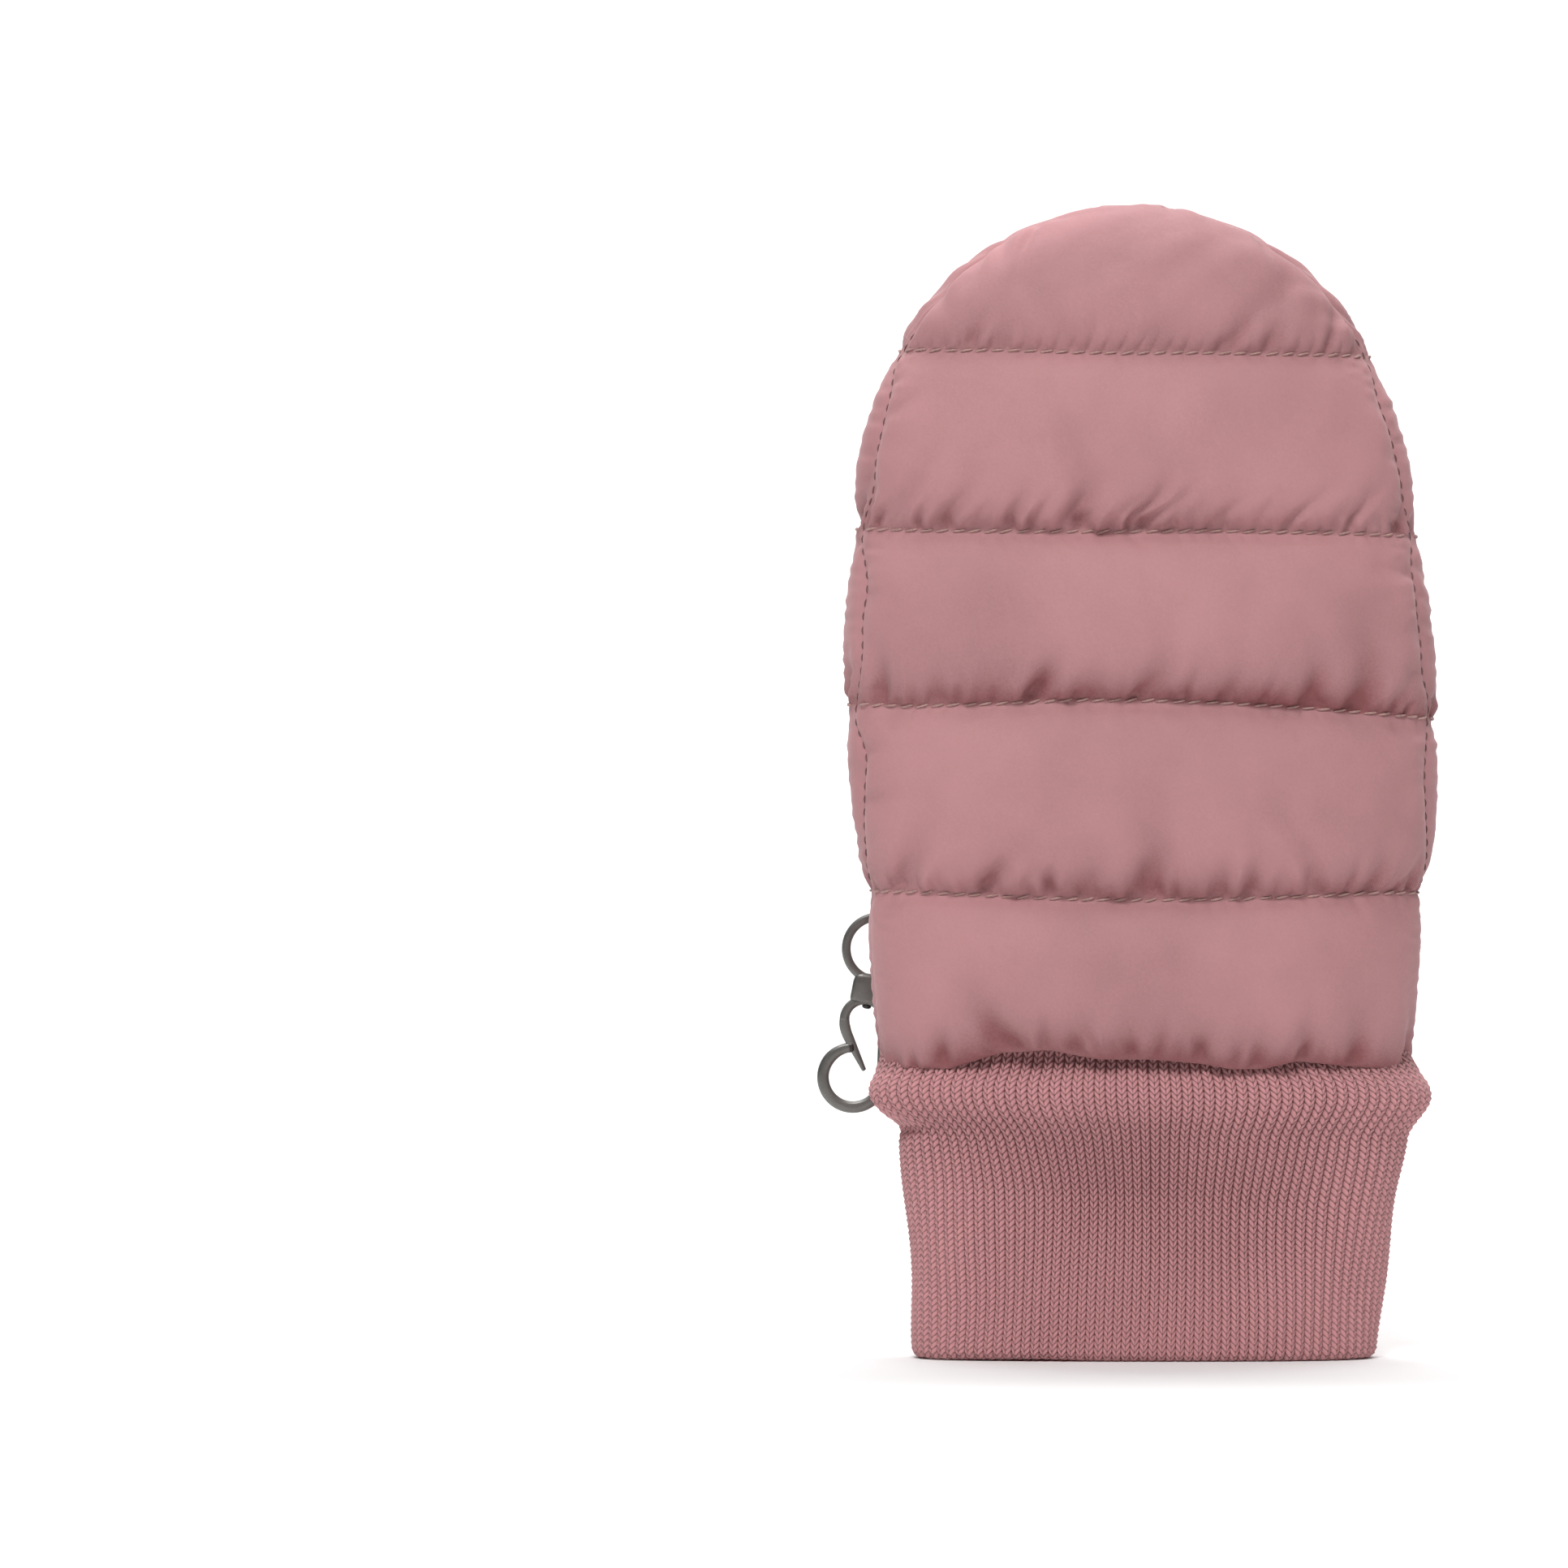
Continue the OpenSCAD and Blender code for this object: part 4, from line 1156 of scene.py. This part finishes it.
def make_gusset(palm):
    """The inset strip from the palm's opening to the round base of the thumb sleeve."""
    surface = palm.evaluated_get(bpy.context.evaluated_depsgraph_get())
    turn = np.linspace(0, 360, 97)[:-1]
    c, s = cos_sin(turn)

    def foot(share, lift):
        z = THUMB_AT[2] - share * GUSSET_Z * signed_pow(s, GUSSET_CORNER)
        a = THUMB_A - share * GUSSET_A * signed_pow(c, GUSSET_CORNER)
        loop = hand_point(z, a, 3.0)
        loop[:, 0] = np.interp(a, np.linspace(0, 180, 181), palm_across())
        for p in loop:
            hit, at, _, _ = surface.ray_cast(Vector(p + (0, 30, 0)) * MM, Vector((0, -1, 0)))
            if hit:
                p[1] = at.y / MM + lift
        return loop

    edge, last = foot(1.03, 0.25), foot(0.985, 0.75)
    rim = join(THUMB_AT[0] + THUMB_BASE_R * c, 18.1, THUMB_AT[2] - THUMB_BASE_R * s)
    rows = [edge + (0, -0.9, 0), edge, last]
    for step in np.linspace(0.12, 1.0, 8):
        at = last + (rim - last) * step
        at[:, 1] += 0.55 * math.sin(math.pi * step) * (1 + 0.5 * np.sin(np.radians(turn) * 9 + 1.0))
        rows.append(at)
    rows.append(rim + join(-0.9 * c, 0.5, 0.9 * s))
    grid = np.array(rows)
    coords = join(np.radians(turn) * 14, length_along(grid[:, 0])[:, None])
    return grid_object("thumb_gusset_strip", grid, coords * MM, wrap=True, subdivide=1)


def lining_panel(name, side):
    """One half of the fleece lining, on the inner face of the wadding."""
    t = np.concatenate([np.linspace(t_of(HEM_Z + 0.3), t_of(205.0), 44),
                        np.linspace(t_of(205.0), UP[-1], 16)[1:]])
    ss, tt = np.meshgrid(np.linspace(0.0, 1.0, 49), t)
    wob = 0.35 * smooth_noise(ss * 130, 3 + side, 30.0) * np.sin(tt * 0.11)
    grid = hand_surface(side, ss, tt, LINING_DEPTH + 0.2 + 0.5 * np.abs(wob))

    def hole(p):
        away = (p[:, 0] - THUMB_AT[0]) ** 2 + (p[:, 2] - THUMB_AT[2]) ** 2
        return (away < LINING_HOLE_R ** 2) & (p[:, 1] > 3)

    return grid_object(name, grid, flip=side == PALM, hole=hole if side == PALM else None)


def build_hand(fabric, sewing, seam):
    hand, out, ids, data, normals = drape_hand()
    panels = [panel(name, side, hand, out, ids, data, normals)
              for name, side in (("back_panel", BACK), ("palm_panel", PALM))]
    fills = [[f"{name}_fill_{k}" for k in range(1, 6)] for name in ("back", "palm")]
    put(panels[BACK], fabric, "hand", "quilted_fabric", "back_shell", *fills[BACK])
    put(panels[PALM], fabric, "hand", "quilted_fabric", "palm_shell", "wrist_elastic", *fills[PALM])
    for name, side in (("back", BACK), ("palm", PALM)):
        lines = []
        for row in hand.line_rows[1:]:
            line = ids[side][row, 2:-2]
            if side == PALM:
                line = line[gusset_share(out[line]) > 1.0]
            lines.append((out[line], normals[line]))
        obj = stitches(name + "_stitches", lines, STITCH_PITCH, 2.6, 0.23, 0.20, -0.35, panels[side])
        put(obj, sewing, "hand", "thread", name + "_quilt_thread")
    low = int(np.argmax(out[ids[BACK][:, 0], 2] > SEAM_SHOWS_Z))
    sides = [ids[BACK][low:, column] for column in (0, -1)]
    obj = stitches("side_seam_stitches", [(out[i], normals[i]) for i in sides], 2.7, 1.6, 0.17, 0.0, -0.2)
    put(obj, seam, "hand", "thread", "side_seam_thread")
    put(make_gusset(panels[PALM]), fabric, "hand", "quilted_fabric", "thumb_gusset")


def build_thumb(fabric, sewing, seam):
    points, ids, aa, ll, line, normals = drape_thumb()
    coords = join(np.radians(aa) * THUMB_HALF_W * 0.9, ll).reshape(-1, 2) * MM
    faces = [*grid_faces(*ids.shape, True, True), ids[-1]]
    sleeve = mesh_object("thumb_sleeve", points, faces, coords, subdivide=1)
    put(sleeve, fabric, "thumb", "quilted_fabric", "thumb_shell", "thumb_fill")
    loop = np.append(ids[line], ids[line, 0])
    obj = stitches("thumb_stitches", [(points[loop], normals[loop])], STITCH_PITCH, 2.6, 0.23, 0.20,
                   on=sleeve)
    put(obj, sewing, "thumb", "thread")
    seams = [ids[3:-9, column] for column in THUMB_SEAMS]
    obj = stitches("thumb_seam_stitches", [(points[i], normals[i]) for i in seams], 2.7, 1.25, 0.16,
                   0.0, 0.5)
    put(obj, seam, "thumb", "thread")


def build_cuff(knit):
    grid, coords = make_cuff()
    half = grid.shape[1] // 2
    palm = grid_object("rib_cuff_palm_side", grid[:, :half + 1], coords[:, :half + 1], flip=True)
    order = np.r_[half:2 * half, 0]
    back_coords = coords[:, order]
    back_coords[:, -1, 0] += WALES
    back = grid_object("rib_cuff_back_side", grid[:, order], back_coords, flip=True)
    inside = grid_object("rib_cuff_inner", *make_cuff_inside(), wrap=True)
    put(palm, knit, "hand", "rib_knit", "rib_cuff")
    put(back, knit, "hand", "rib_knit")
    put(inside, knit, "hand", "rib_knit")


def build_linings(soft):
    for name, side, flat, area in (("back_lining", BACK, (0.093, 0.165), 0.0135),
                                   ("palm_lining", PALM, (0.110, 0.165), 0.0160)):
        obj = put(lining_panel(name + "_fleece", side), soft, "hand", "fleece_lining", name)
    z, d = np.array([(55.5, 4.5), (57.6, 4.6), (58.6, 4.9), (59.6, 5.1), (60.6, 5.3), (62, 5.6)]).T
    obj = grid_object("cuff_seam_binding", cuff_point(z[:, None], cuff_angles(120), d[:, None]), wrap=True)
    put(obj, soft, "hand", "fleece_lining", "cuff_seam_tape")
    along = np.concatenate([np.linspace(0.2, THUMB_LEN - 10, 26), np.linspace(THUMB_LEN - 9, THUMB_LEN, 8)])
    grid = thumb_point(*np.meshgrid(np.arange(48) * 7.5, along), 4.9)
    obj = grid_object("thumb_lining_fleece", grid, wrap=True, flip=True)
    put(obj, soft, "thumb", "fleece_lining", "thumb_lining")


def build_clip(tape, sewing, metal, dark):
    webbing = make_webbing()
    # The tape's sewn end stays in the seam, and the tape bends just outside it.
    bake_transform(webbing)
    put(webbing, tape, None, "webbing", "clip_loop")
    tack = []
    for x in EYE_AT[0] + LOOP_SHIFT + np.linspace(-2.0, 2.0, 15):
        line = np.array([[x - 0.25, 10.3, 91.6], [x + 0.25, 10.2, 94.0]])
        tack.append((line, np.array([[0, 1.0, 0.2]] * 2)))
    obj = stitches("webbing_bartack", tack, 2.45, 2.3, 0.16, 0.1)
    put(obj, sewing, "hand", "thread", "clip_loop_bartack")
    eye, pin, hook, tip, gate = make_clip()
    put(eye, metal, "eye", "clip_frame", "clip_eye")
    put(pin, dark, "eye", "clip_pin", "clip_swivel_pin")
    put(hook, metal, "hook", "clip_frame", "clip_hook")
    put(tip, dark, "hook", "clip_pin")
    put(gate, metal, "gate", "clip_frame", "clip_gate")


# ---- Studio: floor and backdrop in one sweep, soft lights, and the camera ----
CAMERA_X, CAMERA_Z, CAMERA_AWAY, VIEW_W = -0.0712, 0.113, 1.5, 0.30912
SENSOR_W = 36.0


def area_light(name, at, aim, size, energy):
    lamp = bpy.data.lights.new(name, "AREA")
    lamp.shape = "RECTANGLE"
    lamp.size, lamp.size_y = size
    lamp.energy = energy
    obj = bpy.data.objects.new(name, lamp)
    bpy.context.scene.collection.objects.link(obj)
    obj.location = at
    obj.rotation_euler = (Vector(aim) - Vector(at)).to_track_quat("-Z", "Y").to_euler()


def studio():
    start, radius = 1.15, 0.5
    profile = [(-2.2, 0.0), (-1.0, 0.0), (0.4, 0.0), (start, 0.0)]
    profile += [(start + radius * math.sin(a), radius - radius * math.cos(a))
                for a in np.linspace(0.15, math.pi / 2, 12)]
    profile += [(start + radius, 1.2), (start + radius, 2.4)]
    y, z = np.array(profile).T[..., None]
    floor = grid_object("studio_sweep", join(np.linspace(-2.4, 2.4, 9), y, z) / MM)
    floor.data.materials.append(studio_white())
    scene = bpy.context.scene
    scene.world = bpy.data.worlds.new("studio")
    scene.world.use_nodes = True
    background = scene.world.node_tree.nodes["Background"]
    background.inputs["Color"].default_value = (1, 1, 1, 1)
    background.inputs["Strength"].default_value = 0.05
    area_light("key", (-0.25, -1.08, 1.38), (0, 0, 0.12), (0.7, 0.4), 18.5)
    area_light("top", (0.1, -0.15, 1.6), (0, 0, 0.1), (1.2, 0.9), 6.0)
    area_light("fill", (0.35, -1.7, 0.75), (0, 0, 0.1), (0.9, 0.7), 1.2)
    area_light("wall", (0.0, 0.62, 1.9), (0, 1.5, 0.4), (2.4, 0.6), 46.0)
    camera = bpy.data.cameras.new("camera")
    camera.sensor_width = SENSOR_W
    camera.lens = SENSOR_W * CAMERA_AWAY / VIEW_W
    scene.camera = bpy.data.objects.new("camera", camera)
    scene.collection.objects.link(scene.camera)
    scene.camera.location = (CAMERA_X, -CAMERA_AWAY, CAMERA_Z)
    scene.camera.rotation_euler = (math.pi / 2, 0, 0)
    scene.view_settings.view_transform = "Standard"
    scene.view_settings.look = "None"


fabric_material = quilted_fabric()
sewing_thread = thread("sewing_thread", THREAD_PINK, 0.55, 0.15, 0.4, 0.8, 1.15)
seam_thread = thread("seam_thread", tone(PINK, 0.42), 0.7, 0.1, 0.3, 0.8, 1.2)
build_hand(fabric_material, sewing_thread, seam_thread)
build_thumb(fabric_material, sewing_thread, seam_thread)
build_cuff(rib_knit())
build_linings(fleece())
build_clip(woven_tape(), sewing_thread, moulded("clip_frame", GUNMETAL, 0.34),
           moulded("clip_pin", PIN_METAL, 0.35))
studio()
